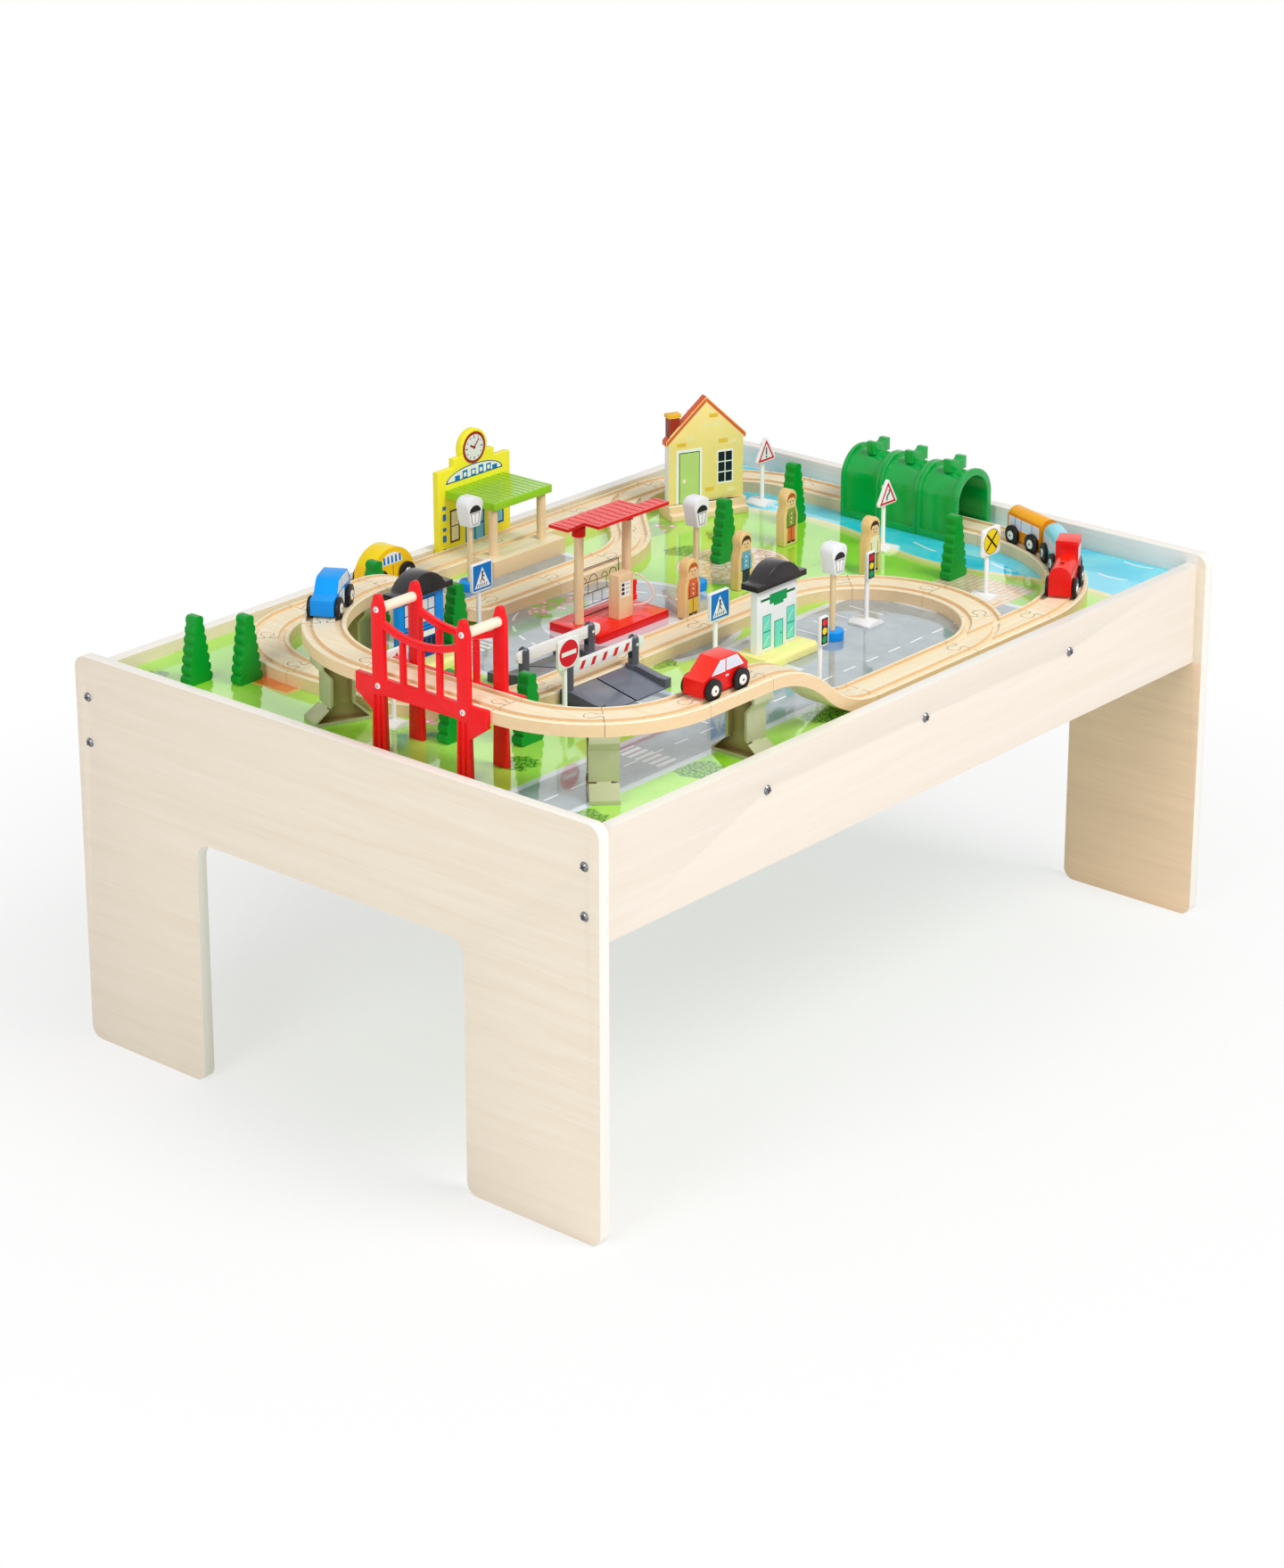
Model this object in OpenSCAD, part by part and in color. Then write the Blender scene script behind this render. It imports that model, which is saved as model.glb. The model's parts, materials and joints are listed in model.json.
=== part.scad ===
// Wooden train table: a low table with a printed play board, a two-level wooden railway,
// free-standing town scenery, and six toy vehicles that roll on the track.
// Millimetres. X runs along the table, Y across it, Z up. The origin is on the floor under the middle.

/* [Table] */
// Length over the two end panels
table_l = 910; // [720:1:1200]
// Width of an end panel
table_w = 630; // [500:1:820]
// Height of an end panel
table_h = 380; // [320:1:600]
// Thickness of the end panels and the side rails
panel_t = 12; // [9:0.5:20]
// Width of each leg of an end panel
leg_w = 152; // [80:1:200]
// Height of the opening between the legs
arch_h = 237; // [120:1:250]
// Radius of the upper corners of the opening between the legs
arch_r = 18; // [6:1:50]
// Radius of the outer corners of an end panel
corner_r = 12; // [4:1:30]
// Height of a side rail
rail_h = 101; // [70:1:140]
// Drop from the top of an end panel to the top of a side rail
rail_drop = 10; // [0:0.5:30]
// Distance from the edge of an end panel to the outer face of a side rail
rail_inset = 10; // [4:0.5:25]
// Drop from the top of a side rail to the play board
board_drop = 12; // [6:0.5:25]
// Thickness of the play board
board_t = 12; // [6:0.5:18]
// Height of a cross batten under the play board
batten_h = 12; // [10:0.5:30]
// Width of a cross batten
batten_w = 30; // [16:1:60]
// Distance between neighbouring cross battens
batten_pitch = 226; // [150:1:300]
// Diameter of a screw head
screw_head_d = 9; // [6:0.5:11]
// Diameter of a screw shank
screw_d = 4; // [3:0.25:6]
// Length of a screw shank
screw_l = 40; // [25:1:60]
// Distance between the two screws at one end of a side rail
screw_pitch = 44; // [20:1:60]
// Drop from the top of a side rail to its upper screw
screw_drop = 28; // [10:1:40]

/* [Track] */
// Width of the track
track_w = 40; // [38:0.5:44]
// Thickness of the track
track_t = 12; // [10:0.5:16]
// Distance between the middles of the two wheel grooves
gauge = 26; // [25:0.25:27]
// Width of a wheel groove
groove_w = 6.4; // [6.2:0.1:7]
// Depth of a wheel groove
groove_d = 3; // [2.5:0.25:4]
// Bevel along the upper edges of the track
edge_bevel = 1; // [0.5:0.25:2]
// Radius of a small curve, at the middle of the track
small_r = 110; // [104:0.5:113]
// Radius of the wide curve at the front right
wide_r = 178; // [165:1:185]
// Radius of the raised curve at the back left
raised_r = 150; // [140:1:155]
// Rise from the lower track to the raised track
rise = 58; // [50:1:66]
// Length of a ramp
ramp_run = 150; // [140:1:156]
// Length of the raised straight in front
raised_l = 84; // [80:1:120]
// Length of the raised straight at the bridge
bridge_run = 155; // [154.5:0.5:180]
// Length of the straight side of a turnout
turnout_l = 117; // [105:1:125]
// Distance between the back track and the siding
siding_gap = 115; // [108:1:120]
// Radius of the round head of a track peg
peg_r = 6; // [4.5:0.25:7]
// Width of the neck of a track peg
peg_neck_w = 6; // [4:0.25:7]
// Distance from the end of a track to the middle of its peg
peg_reach = 10; // [8:0.25:14]

/* [Piers and bridge] */
// Width of a pier at its foot
pier_foot_w = 54; // [46:1:55]
// Width of a pier at its waist
pier_waist_w = 24; // [16:1:34]
// Depth of a pier along the track
pier_d = 26; // [16:1:32]
// Thickness of a bridge frame
bridge_t = 5; // [4:0.5:8]
// Distance between the middles of a frame's two towers
tower_pitch = 99; // [84:1:104]
// Width of a tower
tower_w = 13.5; // [12:0.5:20]
// Height of a tower tip above the raised track
tower_h = 75; // [60:1:90]
// Length of the band along the side of the track
bridge_band_l = 153; // [136:1:154]
// Diameter of a bridge dowel
bridge_dowel_d = 9; // [6:0.5:12]

/* [Tunnel] */
// Length of one tunnel section
tunnel_l = 48; // [36:1:52]
// Half the outer width over a tunnel flange
tunnel_r = 31; // [29:0.5:34]
// Height of a tunnel flange
tunnel_h = 71; // [66:1:80]
// How far a flange stands out of the tunnel wall
flange_out = 4; // [2:0.5:5]
// Thickness of a tunnel wall
tunnel_wall = 3; // [2:0.25:4]

/* [Level crossing] */
// Distance between the two posts on one side of the track
post_pitch = 89; // [75:1:96]
// Diameter of a post
post_d = 10; // [9:0.5:12]
// Height of a post above the play board
post_h = 42; // [38:1:50]
// Length of a road ramp
road_ramp_l = 48; // [36:1:56]
// Height of a barrier bar
bar_h = 11; // [8:0.5:12]
// Thickness of a barrier bar
bar_t = 4; // [3:0.25:5]

/* [Buildings] */
// Length of the station wall
station_l = 104; // [90:1:116]
// Height of the station wall
station_h = 92; // [86:1:110]
// Radius of the station clock board
clock_r = 19; // [15:1:24]
// Height of the platform
platform_h = 16; // [12:1:24]
// Depth of the platform
platform_d = 28; // [22:1:30]
// Thickness of the station roof
station_roof_t = 8; // [6:0.5:12]
// Width of the garden house
house_w = 84; // [70:1:90]
// Height of the garden house's eaves above its plinth
house_eave_h = 68; // [50:1:75]
// Height of the garden house's ridge above its plinth
house_ridge_h = 111; // [98:1:125]
// Thickness of the garden house
house_t = 10; // [6:0.5:14]
// Width of a town house wall
town_w = 58; // [50:1:64]
// Height of a town house wall above its base
town_h = 62; // [50:1:75]
// Thickness of a town house wall
town_t = 8; // [6:0.5:14]
// Length of the fuel stop base
fuel_l = 100; // [90:1:110]
// Depth of the fuel stop base
fuel_w = 62; // [56:1:68]
// Thickness of the fuel stop base
fuel_base_t = 8; // [6:0.5:12]
// Height of the fuel stop posts above the play board
fuel_post_h = 101; // [85:1:115]

/* [Scenery] */
// Height of a tree
tree_h = 64; // [50:1:80]
// Thickness of a tree
tree_t = 12; // [8:0.5:16]
// Height of a figure
figure_h = 58; // [48:1:70]
// Height of a street lamp
lamp_h = 94; // [80:1:110]
// Height of a road sign
sign_h = 72; // [60:1:85]
// Diameter of a sign post
sign_post_d = 4.4; // [3:0.2:6]

/* [Vehicles] */
// Diameter of a wheel
wheel_d = 20; // [18:0.5:22]
// Thickness of a wheel
wheel_t = 3.6; // [3:0.1:3.8]
// Diameter of an axle
axle_d = 3; // [2:0.25:4]
// Width of a vehicle body
body_w = 21.6; // [18:0.2:21.8]
// Gap between the track and the underside of a vehicle
ride_h = 2.6; // [2:0.2:4]
// Distance between the axles of a car
car_wheelbase = 37; // [32:0.5:38]
// Length of a car
car_l = 60; // [54:1:64]
// Height of a car body
car_h = 29; // [26:1:34]
// Height of the round car's body
round_car_h = 33; // [28:1:36]
// Distance between the axles of the locomotive
loco_wheelbase = 38; // [34:0.5:42]
// Length of the locomotive
loco_l = 66; // [62:1:70]
// Distance between the axles of a wagon
wagon_wheelbase = 33; // [30:0.5:36]
// Length of a wagon
wagon_l = 56; // [52:1:59]
// Height of a wagon body
wagon_h = 31; // [27:1:36]

/* [Hidden] */
$fn = 48;

// Clearances: an overrun for cuts, a close fit, a seam between pieces, and a running clearance
cut = 1;
fit = 0.1;
seam = 0.4;
running = 0.05;
clear = 0.3;

// Heights of the main planes
board_z = table_h - rail_drop - board_drop;
track_z = board_z + track_t;
raised_z = board_z + rise;
raised_top_z = raised_z + track_t;
batten_z = board_z - board_t - batten_h;

// Room inside the table, and the plan's length and width from its pieces along the front and the left
inner_l = table_l - 2*panel_t;
inner_w = table_w - 2*rail_inset - 2*panel_t;
right_margin = 42;
raised_margin = 55;
low_left_inset = 63;
front_margin = 28;
back_margin = 28;
plan_l = right_margin + wide_r + turnout_l + 2*ramp_run + raised_l + small_r + raised_margin;
plan_w = front_margin + small_r + bridge_run + raised_r + siding_gap + back_margin;

// All that stands on the board is made at the scale at which the plan fits between the walls
set_scale = min(inner_l/plan_l, inner_w/plan_w);

// Lines of the track, from the edges of the plan
right_x = plan_l/2 - right_margin;
raised_x = raised_margin - plan_l/2;
low_left_x = raised_x + low_left_inset;
front_y = front_margin - plan_w/2;
back_y = plan_w/2 - back_margin;
mid_y = front_y + 2*small_r;
siding_y = back_y - siding_gap;

// Centres of the curves, and the ends of the straight runs
right_c = [right_x - wide_r, front_y + wide_r];
corner_c = [right_x - small_r, back_y - small_r];
inner_c = [right_c.x - turnout_l, front_y + small_r];
left_c = [low_left_x + small_r, mid_y + small_r];
left_back_c = [low_left_x + small_r, back_y - small_r];
raised_front_c = [raised_x + small_r, front_y + small_r];
raised_back_c = [raised_x + raised_r, siding_y - raised_r];
front_ramp_x = inner_c.x - ramp_run;
raised_front_x = front_ramp_x - ramp_run;
back_ramp_x = raised_back_c.x + ramp_run;
half_turn_x = small_r*sin(45);
half_turn_y = small_r*(1 - cos(45));
siding_diagonal = (siding_gap - 2*half_turn_y)/sin(45);
siding_curve_x = corner_c.x - 2*half_turn_x - siding_diagonal*cos(45);
branch_start = [corner_c.x - half_turn_x, back_y - half_turn_y];
ramp_angle = 2*atan(rise/ramp_run);
ramp_r = ramp_run/(2*sin(ramp_angle));
ramp_lap = 0.2;

// Places of the scenery: a point on the track plan, plus shares of the small curve's radius
function at_share(anchor, share) = anchor + small_r*share;
function places(anchors, shares) = [for (i = [0:len(shares) - 1]) at_share(anchors[i], shares[i])];

// Two-dimensional helpers

// Rectangle with round corners, its lower edge at y = 0 and centred on x = 0
module round_rect(w, h, r) {
    translate([-w/2, r]) square([w, h - 2*r]);
    translate([r - w/2, 0]) square([w - 2*r, h]);
    for (x = [r - w/2, w/2 - r], y = [r, h - r])
        translate([x, y]) circle(r);
}

// The quarter-round web that fills an inner corner at the origin, on the side of +x and +y
module inner_fillet(r) {
    difference() {
        square(r);
        translate([r, r]) circle(r);
    }
}

// Stands an outline drawn in x and z across Y, centred on y = 0
module across_y(t) {
    rotate([90, 0, 0]) linear_extrude(t, center = true) children();
}

// Stands an outline drawn in y and z across X, centred on x = 0
module across_x(t) {
    rotate([90, 0, 90]) linear_extrude(t, center = true) children();
}

// Places children at a point on a plane, turned to a heading
module at_pose(p, z, heading) {
    translate([p.x, p.y, z]) rotate(heading) children();
}

// Brings what stands on the board to the size that fits it
module on_board() {
    translate([0, 0, board_z]) scale(set_scale) translate([0, 0, -board_z]) children();
}

// Table

rail_y = table_w/2 - rail_inset - panel_t/2;
rail_z = table_h - rail_drop - rail_h;
rail_screw_z = table_h - rail_drop - screw_drop;
batten_screw_z = batten_z + batten_h/2;
end_screw_zs = [rail_screw_z, rail_screw_z - screw_pitch];
batten_xs = [-batten_pitch, 0, batten_pitch];
dome_share = 0.3;

module screw_hole(gap) {
    translate([0, 0, -screw_l - cut]) cylinder(d = screw_d + 2*gap, h = screw_l + 2*cut);
}

// A screw whose domed head rests on z = 0, with its shank below
module screw() {
    dome_h = screw_head_d*dome_share;
    dome_r = (screw_head_d*screw_head_d/4 + dome_h*dome_h)/(2*dome_h);
    intersection() {
        translate([0, 0, dome_h - dome_r]) sphere(dome_r);
        cylinder(d = screw_head_d + 2*cut, h = screw_head_d);
    }
    translate([0, 0, -screw_l]) cylinder(d = screw_d, h = screw_l);
}

// Places children at each screw of an end panel, pointing out of the panel on the given side
module at_end_screws(side) {
    for (y = [-rail_y, rail_y], z = end_screw_zs)
        translate([side*table_l/2, y, z]) rotate([0, side*90, 0]) children();
}

// Places children at each batten screw of a side rail, pointing out of the rail on the given side
module at_batten_screws(side) {
    for (x = batten_xs)
        translate([x, side*(rail_y + panel_t/2), batten_screw_z]) rotate([-side*90, 0, 0]) children();
}

module end_panel(side) {
    leg_y = (table_w - leg_w)/2;
    difference() {
        translate([side*(table_l - panel_t)/2, 0, 0]) across_x(panel_t) {
            translate([0, arch_h]) round_rect(table_w, table_h - arch_h, corner_r);
            for (y = [-leg_y, leg_y])
                translate([y, 0]) {
                    round_rect(leg_w, arch_h + 2*corner_r, corner_r);
                    translate([-leg_w/2, corner_r]) square([leg_w, arch_h]);
                }
            translate([-table_w/2, arch_h]) square([table_w, corner_r]);
            for (s = [-1, 1])
                translate([s*(table_w/2 - leg_w), arch_h]) rotate(s < 0 ? -90 : 180) inner_fillet(arch_r);
        }
        at_end_screws(side) screw_hole(fit);
    }
}

module end_panel_left() { color("BlanchedAlmond") end_panel(-1); }

module end_panel_right() { color("BlanchedAlmond") end_panel(1); }

module side_rail(side) {
    difference() {
        translate([-inner_l/2, side*rail_y - panel_t/2, rail_z]) cube([inner_l, panel_t, rail_h]);
        at_end_screws(-1) screw_hole(fit);
        at_end_screws(1) screw_hole(fit);
        at_batten_screws(side) screw_hole(fit);
    }
}

module side_rail_front() { color("OldLace") side_rail(-1); }

module side_rail_back() { color("OldLace") side_rail(1); }

// Two halves that meet at a seam along the middle of the table
module play_boards() {
    half_w = (inner_w - seam)/2 - fit;
    color("YellowGreen")
    for (s = [-1, 1])
        translate([fit - inner_l/2, s > 0 ? seam/2 : -seam/2 - half_w, board_z - board_t])
            cube([inner_l - 2*fit, half_w, board_t]);
}

module cross_battens() {
    color("Tan")
    difference() {
        for (x = batten_xs)
            translate([x - batten_w/2, -inner_w/2, batten_z]) cube([batten_w, inner_w, batten_h]);
        at_batten_screws(-1) screw_hole(fit);
        at_batten_screws(1) screw_hole(fit);
    }
}

module table_screws() {
    color("Silver") {
        at_end_screws(-1) screw();
        at_end_screws(1) screw();
        at_batten_screws(-1) screw();
        at_batten_screws(1) screw();
    }
}

// Track

module track_blank() {
    half = track_w/2;
    shoulder = track_t - edge_bevel;
    polygon([[-half, 0], [half, 0], [half, shoulder], [half - edge_bevel, track_t],
        [edge_bevel - half, track_t], [-half, shoulder]]);
}

module track_grooves() {
    for (s = [-1, 1])
        translate([s*gauge/2 - groove_w/2, track_t - groove_d]) square([groove_w, groove_d + cut]);
}

module track_section() {
    difference() {
        track_blank();
        track_grooves();
    }
}

// Sweeps a section drawn across the track along a straight run or a curve that starts at the origin
module along_straight(l) {
    rotate([90, 0, 90]) linear_extrude(l) children();
}

module along_curve(r, angle, turn) {
    mirror([0, turn < 0 ? 1 : 0, 0])
        translate([0, r, 0]) rotate(-90) rotate_extrude(angle = angle) translate([r, 0]) children();
}

// Moves to the far end of a curve
module curve_end(r, angle, turn) {
    translate([r*sin(angle), turn*r*(1 - cos(angle)), 0]) rotate(turn*angle) children();
}

// The round-headed peg that joins two tracks, or with a gap the socket that takes it
module track_peg(gap) {
    over = gap > 0 ? cut : 0;
    translate([-cut, -peg_neck_w/2 - gap, -over])
        cube([peg_reach + cut, peg_neck_w + 2*gap, track_t + 2*over]);
    translate([peg_reach, 0, -over]) cylinder(r = peg_r + gap, h = track_t + 2*over);
}

module straight_track(l) {
    difference() {
        along_straight(l - seam) track_section();
        track_peg(seam);
    }
    translate([l - seam, 0, 0]) track_peg(0);
}

module curved_track(r, angle, turn) {
    swept = angle - 2*asin(seam/(2*r));
    difference() {
        along_curve(r, swept, turn) track_section();
        track_peg(seam);
    }
    curve_end(r, swept, turn) track_peg(0);
}

// A row of equal straight tracks that fills a run
module straight_row(p, z, heading, run, count) {
    for (i = [0:count - 1])
        at_pose(p, z, heading) translate([i*run/count, 0, 0]) straight_track(run/count);
}

// A bend made of eighth-turn curves
module curve_row(p, z, heading, r, turn, count) {
    for (i = [0:count - 1])
        at_pose(p, z, heading) curve_end(r, i*45, turn) curved_track(r, 45, turn);
}

module straight_tracks() {
    color("Wheat") on_board() {
        straight_row([left_back_c.x, back_y], board_z, 0, corner_c.x - turnout_l - left_back_c.x, 3);
        straight_row([right_x, corner_c.y], board_z, -90, corner_c.y - right_c.y, 2);
        straight_row([inner_c.x, front_y], board_z, 180, ramp_run, 1);
        straight_row([inner_c.x, mid_y], board_z, 180, inner_c.x - left_c.x, 3);
        straight_row([low_left_x, left_c.y], board_z, 90, left_back_c.y - left_c.y, 1);
        straight_row([back_ramp_x, siding_y], board_z, 0, siding_curve_x - back_ramp_x, 2);
        straight_row([siding_curve_x + half_turn_x, siding_y + half_turn_y], board_z, 45,
            siding_diagonal, 1);
    }
}

module curved_tracks() {
    color("Wheat") on_board() {
        curve_row([corner_c.x, back_y], board_z, 0, small_r, -1, 2);
        curve_row([right_x, right_c.y], board_z, -90, wide_r, -1, 2);
        curve_row([inner_c.x + half_turn_x, front_y + half_turn_y], board_z, 45, small_r, 1, 3);
        curve_row([left_c.x, mid_y], board_z, 180, small_r, -1, 2);
        curve_row([low_left_x, left_back_c.y], board_z, 90, small_r, -1, 2);
        curve_row([siding_curve_x, siding_y], board_z, 0, small_r, 1, 1);
    }
}

// A turnout whose common end is at the origin and whose branch turns left off the straight side
module turnout_body() {
    difference() {
        union() {
            along_straight(turnout_l) track_blank();
            along_curve(small_r, 45, 1) track_blank();
        }
        along_straight(turnout_l) track_grooves();
        along_curve(small_r, 45, 1) track_grooves();
        curve_end(small_r, 45, 1) translate([0, -track_w/2 - seam, -cut])
            cube([track_w, track_w + 2*seam, track_t + 2*cut]);
        translate([-cut, -track_w/2 - cut, -cut])
            cube([cut + seam, track_w + 2*cut, track_t + 2*cut]);
    }
}

module front_turnout() {
    difference() {
        turnout_body();
        translate([turnout_l, 0, 0]) rotate(180) track_peg(seam);
    }
    translate([seam, 0, 0]) rotate(180) track_peg(0);
    curve_end(small_r, 45, 1) track_peg(0);
}

module back_turnout() {
    difference() {
        mirror([1, 0, 0]) mirror([0, 1, 0]) turnout_body();
        translate([-turnout_l, 0, 0]) track_peg(seam);
        rotate(180) curve_end(small_r, 45, 1) rotate(180) track_peg(seam);
    }
    translate([-seam, 0, 0]) track_peg(0);
}

module turnout_tracks() {
    color("Wheat") on_board() {
        at_pose([inner_c.x, front_y], board_z, 0) front_turnout();
        at_pose([corner_c.x, back_y], board_z, 0) back_turnout();
    }
}

// A ramp that climbs from the origin along +X through two opposite bends
module ramp_body() {
    lapped = ramp_angle + ramp_lap;
    translate([0, 0, ramp_r]) rotate([90, 0, 0]) rotate(-90) rotate_extrude(angle = lapped)
        translate([ramp_r, 0]) rotate(90) track_section();
    translate([ramp_run, 0, rise - ramp_r]) rotate([90, 0, 0]) rotate(90) rotate_extrude(angle = lapped)
        translate([ramp_r, 0]) rotate(-90) track_section();
}

module ramp_track(peg_up) {
    difference() {
        ramp_body();
        if (peg_up) track_peg(seam);
        else translate([ramp_run, 0, rise]) rotate(180) track_peg(seam);
        translate([peg_up ? ramp_run - seam : -cut, -track_w/2 - cut, peg_up ? rise - cut : -cut])
            cube([seam + cut, track_w + 2*cut, track_t + 2*cut]);
    }
    if (peg_up) translate([ramp_run - seam, 0, rise]) track_peg(0);
    else translate([seam, 0, 0]) rotate(180) track_peg(0);
}

module ramp_tracks() {
    color("Wheat") on_board() {
        at_pose([front_ramp_x, front_y], board_z, 180) ramp_track(true);
        at_pose([back_ramp_x, siding_y], board_z, 180) ramp_track(false);
    }
}

module raised_tracks() {
    color("Wheat") on_board() {
        straight_row([raised_front_x, front_y], raised_z, 180, raised_front_x - raised_front_c.x, 1);
        curve_row([raised_front_c.x, front_y], raised_z, 180, small_r, -1, 2);
        straight_row([raised_x, raised_front_c.y], raised_z, 90, raised_back_c.y - raised_front_c.y, 1);
        curve_row([raised_x, raised_back_c.y], raised_z, 90, raised_r, -1, 2);
    }
}

// Piers

pier_top_t = 6;
pier_flare_h = 15;
pier_foot_t = 4;
pier_rim = 3;
pier_recess = 7;
pier_front_angle = 225;
pier_end_share = 0.15;
pier_left_angle = 157;
pier_end_angle = 98;

module pier_outline(inset) {
    foot = pier_foot_w/2 - inset;
    waist = pier_waist_w/2 - inset;
    top = track_w/2 - inset;
    polygon([[-foot, inset], [foot, inset], [foot, pier_foot_t], [waist, pier_flare_h + inset],
        [waist, rise - pier_flare_h], [top, rise - pier_top_t], [top, rise - inset], [-top, rise - inset],
        [-top, rise - pier_top_t], [-waist, rise - pier_flare_h], [-waist, pier_flare_h + inset],
        [-foot, pier_foot_t]]);
}

// A moulded pier with a rim round each of its two hollowed faces
module pier() {
    difference() {
        across_x(pier_d) pier_outline(0);
        for (s = [-1, 1])
            translate([s*(pier_d + cut - pier_recess)/2, 0, 0]) across_x(pier_recess + cut)
                pier_outline(pier_rim);
    }
}

module track_piers() {
    color("DarkKhaki") on_board() {
        at_pose(raised_front_c + small_r*[cos(pier_front_angle), sin(pier_front_angle)], board_z,
            pier_front_angle + 90) pier();
        at_pose([raised_front_c.x + (1 - pier_end_share)*(raised_front_x - raised_front_c.x), front_y],
            board_z, 0) pier();
        for (a = [pier_left_angle, pier_end_angle])
            at_pose(raised_back_c + raised_r*[cos(a), sin(a)], board_z, a + 90) pier();
    }
}

// Bridge: two side frames screwed to the edges of the raised straight and tied by dowels over the track

bridge_y = (raised_front_c.y + raised_back_c.y)/2;
bridge_x = track_w/2 + fit;
tower_cap_h = 12;
tower_tip_r = 4;
band_h = 15;
haunch_h = 16;
haunch_l = 22;
leg_spread = 1.5;
hand_rail_t = 6;
hand_rail_end_h = 52;
hand_rail_sag = 9;
baluster_w = 4.5;
baluster_count = 3;
flute_w = 3;
flute_d = 1.6;
dowel_drop = 9;

// A hand rail that sags between the towers: the band between two arcs
module hand_rail() {
    span = tower_pitch - tower_w;
    sag_r = (span*span/4 + hand_rail_sag*hand_rail_sag)/(2*hand_rail_sag);
    intersection() {
        translate([0, sag_r + hand_rail_end_h - hand_rail_sag]) difference() {
            circle(sag_r + hand_rail_t, $fn = 96);
            circle(sag_r, $fn = 96);
        }
        translate([-span/2 - cut, hand_rail_end_h - hand_rail_sag - hand_rail_t])
            square([span + 2*cut, hand_rail_sag + hand_rail_t]);
    }
}

// Frame outline in y and z, with z measured from the top of the raised track
module bridge_outline() {
    deck = -band_h;
    foot = -rise - track_t;
    translate([-bridge_band_l/2, deck]) square([bridge_band_l, band_h]);
    for (s = [-1, 1])
        translate([s*tower_pitch/2, 0]) {
            translate([-tower_w/2, deck]) square([tower_w, tower_h - tower_cap_h + band_h]);
            polygon([[-tower_w/2, tower_h - tower_cap_h], [tower_w/2, tower_h - tower_cap_h],
                [tower_tip_r, tower_h - tower_tip_r], [-tower_tip_r, tower_h - tower_tip_r]]);
            translate([0, tower_h - tower_tip_r]) circle(tower_tip_r);
            polygon([[-tower_w/2, deck], [tower_w/2, deck], [tower_w/2 + leg_spread, foot],
                [-tower_w/2 - leg_spread, foot]]);
            polygon([[s*tower_w/2, deck], [s*(tower_w/2 + haunch_l), deck], [s*tower_w/2, deck - haunch_h]]);
        }
    hand_rail();
    for (i = [1:baluster_count])
        translate([(i/(baluster_count + 1) - 0.5)*(tower_pitch - tower_w) - baluster_w/2, -cut])
            square([baluster_w, hand_rail_end_h - hand_rail_sag - hand_rail_t + 2*cut]);
}

module bridge_frame() {
    difference() {
        translate([bridge_x + bridge_t/2, 0, 0]) across_x(bridge_t) bridge_outline();
        for (s = [-1, 1], f = [-1, 1])
            translate([bridge_x + bridge_t - flute_d, s*tower_pitch/2 + f*flute_w - flute_w/2,
                -rise - track_t - cut]) cube([flute_d + cut, flute_w, rise + track_t - band_h]);
    }
}

module at_bridge() {
    translate([raised_x, bridge_y, raised_top_z]) children();
}

module bridge_frames() {
    color("Crimson") on_board() at_bridge() {
        bridge_frame();
        rotate(180) bridge_frame();
    }
}

module bridge_dowels() {
    color("Wheat") on_board() at_bridge()
        for (s = [-1, 1])
            translate([0, s*tower_pitch/2, tower_h - dowel_drop - bridge_dowel_d/2]) rotate([0, 90, 0])
                cylinder(d = bridge_dowel_d, h = 2*bridge_x, center = true);
}

// Level crossing: two road ramps, each with a pair of forked posts, and a barrier bar between them

crossing_share = 0.38;
crossing_x = left_c.x + crossing_share*small_r;
wall_w = 8;
wall_end_h = 9;
road_top_share = 0.9;
road_toe = 1;
lane_groove_w = 2;
lane_groove_d = 1;
pin_h = 33;
pin_d = 3;
bar_tail = 13;
bar_nose = 10;
post_slot = bar_t + 2*clear;
post_base_d = post_d + 2;
post_base_h = 14;
post_y = track_w/2 + seam + post_base_d/2;

// The fork in the top of a post; it reaches lower where the tail of the bar swings down
module post_fork(tail) {
    low = pin_h - clear - (tail ? bar_tail : bar_h/2);
    translate([-post_base_d/2 - cut, -post_slot/2, low])
        cube([post_base_d + 2*cut, post_slot, post_h - low + cut]);
    if (tail) translate([0, 0, pin_h]) rotate([90, 0, 0])
        cylinder(d = pin_d + 2*running, h = post_d + 2*cut, center = true);
}

module post(tail) {
    difference() {
        union() {
            cylinder(d = post_d, h = post_h - post_d/2);
            translate([0, 0, post_h - post_d/2]) sphere(d = post_d);
            cylinder(d = post_base_d, h = post_base_h);
        }
        translate([0, 0, -post_d]) cylinder(d = post_base_d + 2*cut, h = post_d);
        post_fork(tail);
    }
}

// One road ramp, drawn for the side of the track towards -Y, with the track's edge at y = 0
module road_ramp() {
    wall_x = post_pitch/2;
    far_y = seam - road_ramp_l;
    difference() {
        union() {
            across_x(post_pitch) polygon([[-seam, 0], [far_y, 0], [far_y, road_toe],
                [-seam, road_top_share*track_t]]);
            for (s = [-1, 1])
                translate([s*wall_x, 0, 0]) across_x(wall_w) polygon([[-seam, 0], [far_y, 0],
                    [far_y, wall_end_h], [far_y + wall_w, wall_end_h], [-post_base_d - seam, post_base_h],
                    [-seam, post_base_h]]);
        }
        translate([0, -road_ramp_l/2, road_top_share*track_t/2 + road_toe/2])
            rotate([atan((road_top_share*track_t - road_toe)/(road_ramp_l - 2*seam)), 0, 0])
            translate([-lane_groove_w/2, -road_ramp_l, -lane_groove_d])
            cube([lane_groove_w, 2*road_ramp_l, track_t]);
    }
    for (s = [-1, 1])
        translate([s*wall_x, track_w/2 - post_y, 0]) post(s > 0);
}

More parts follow.
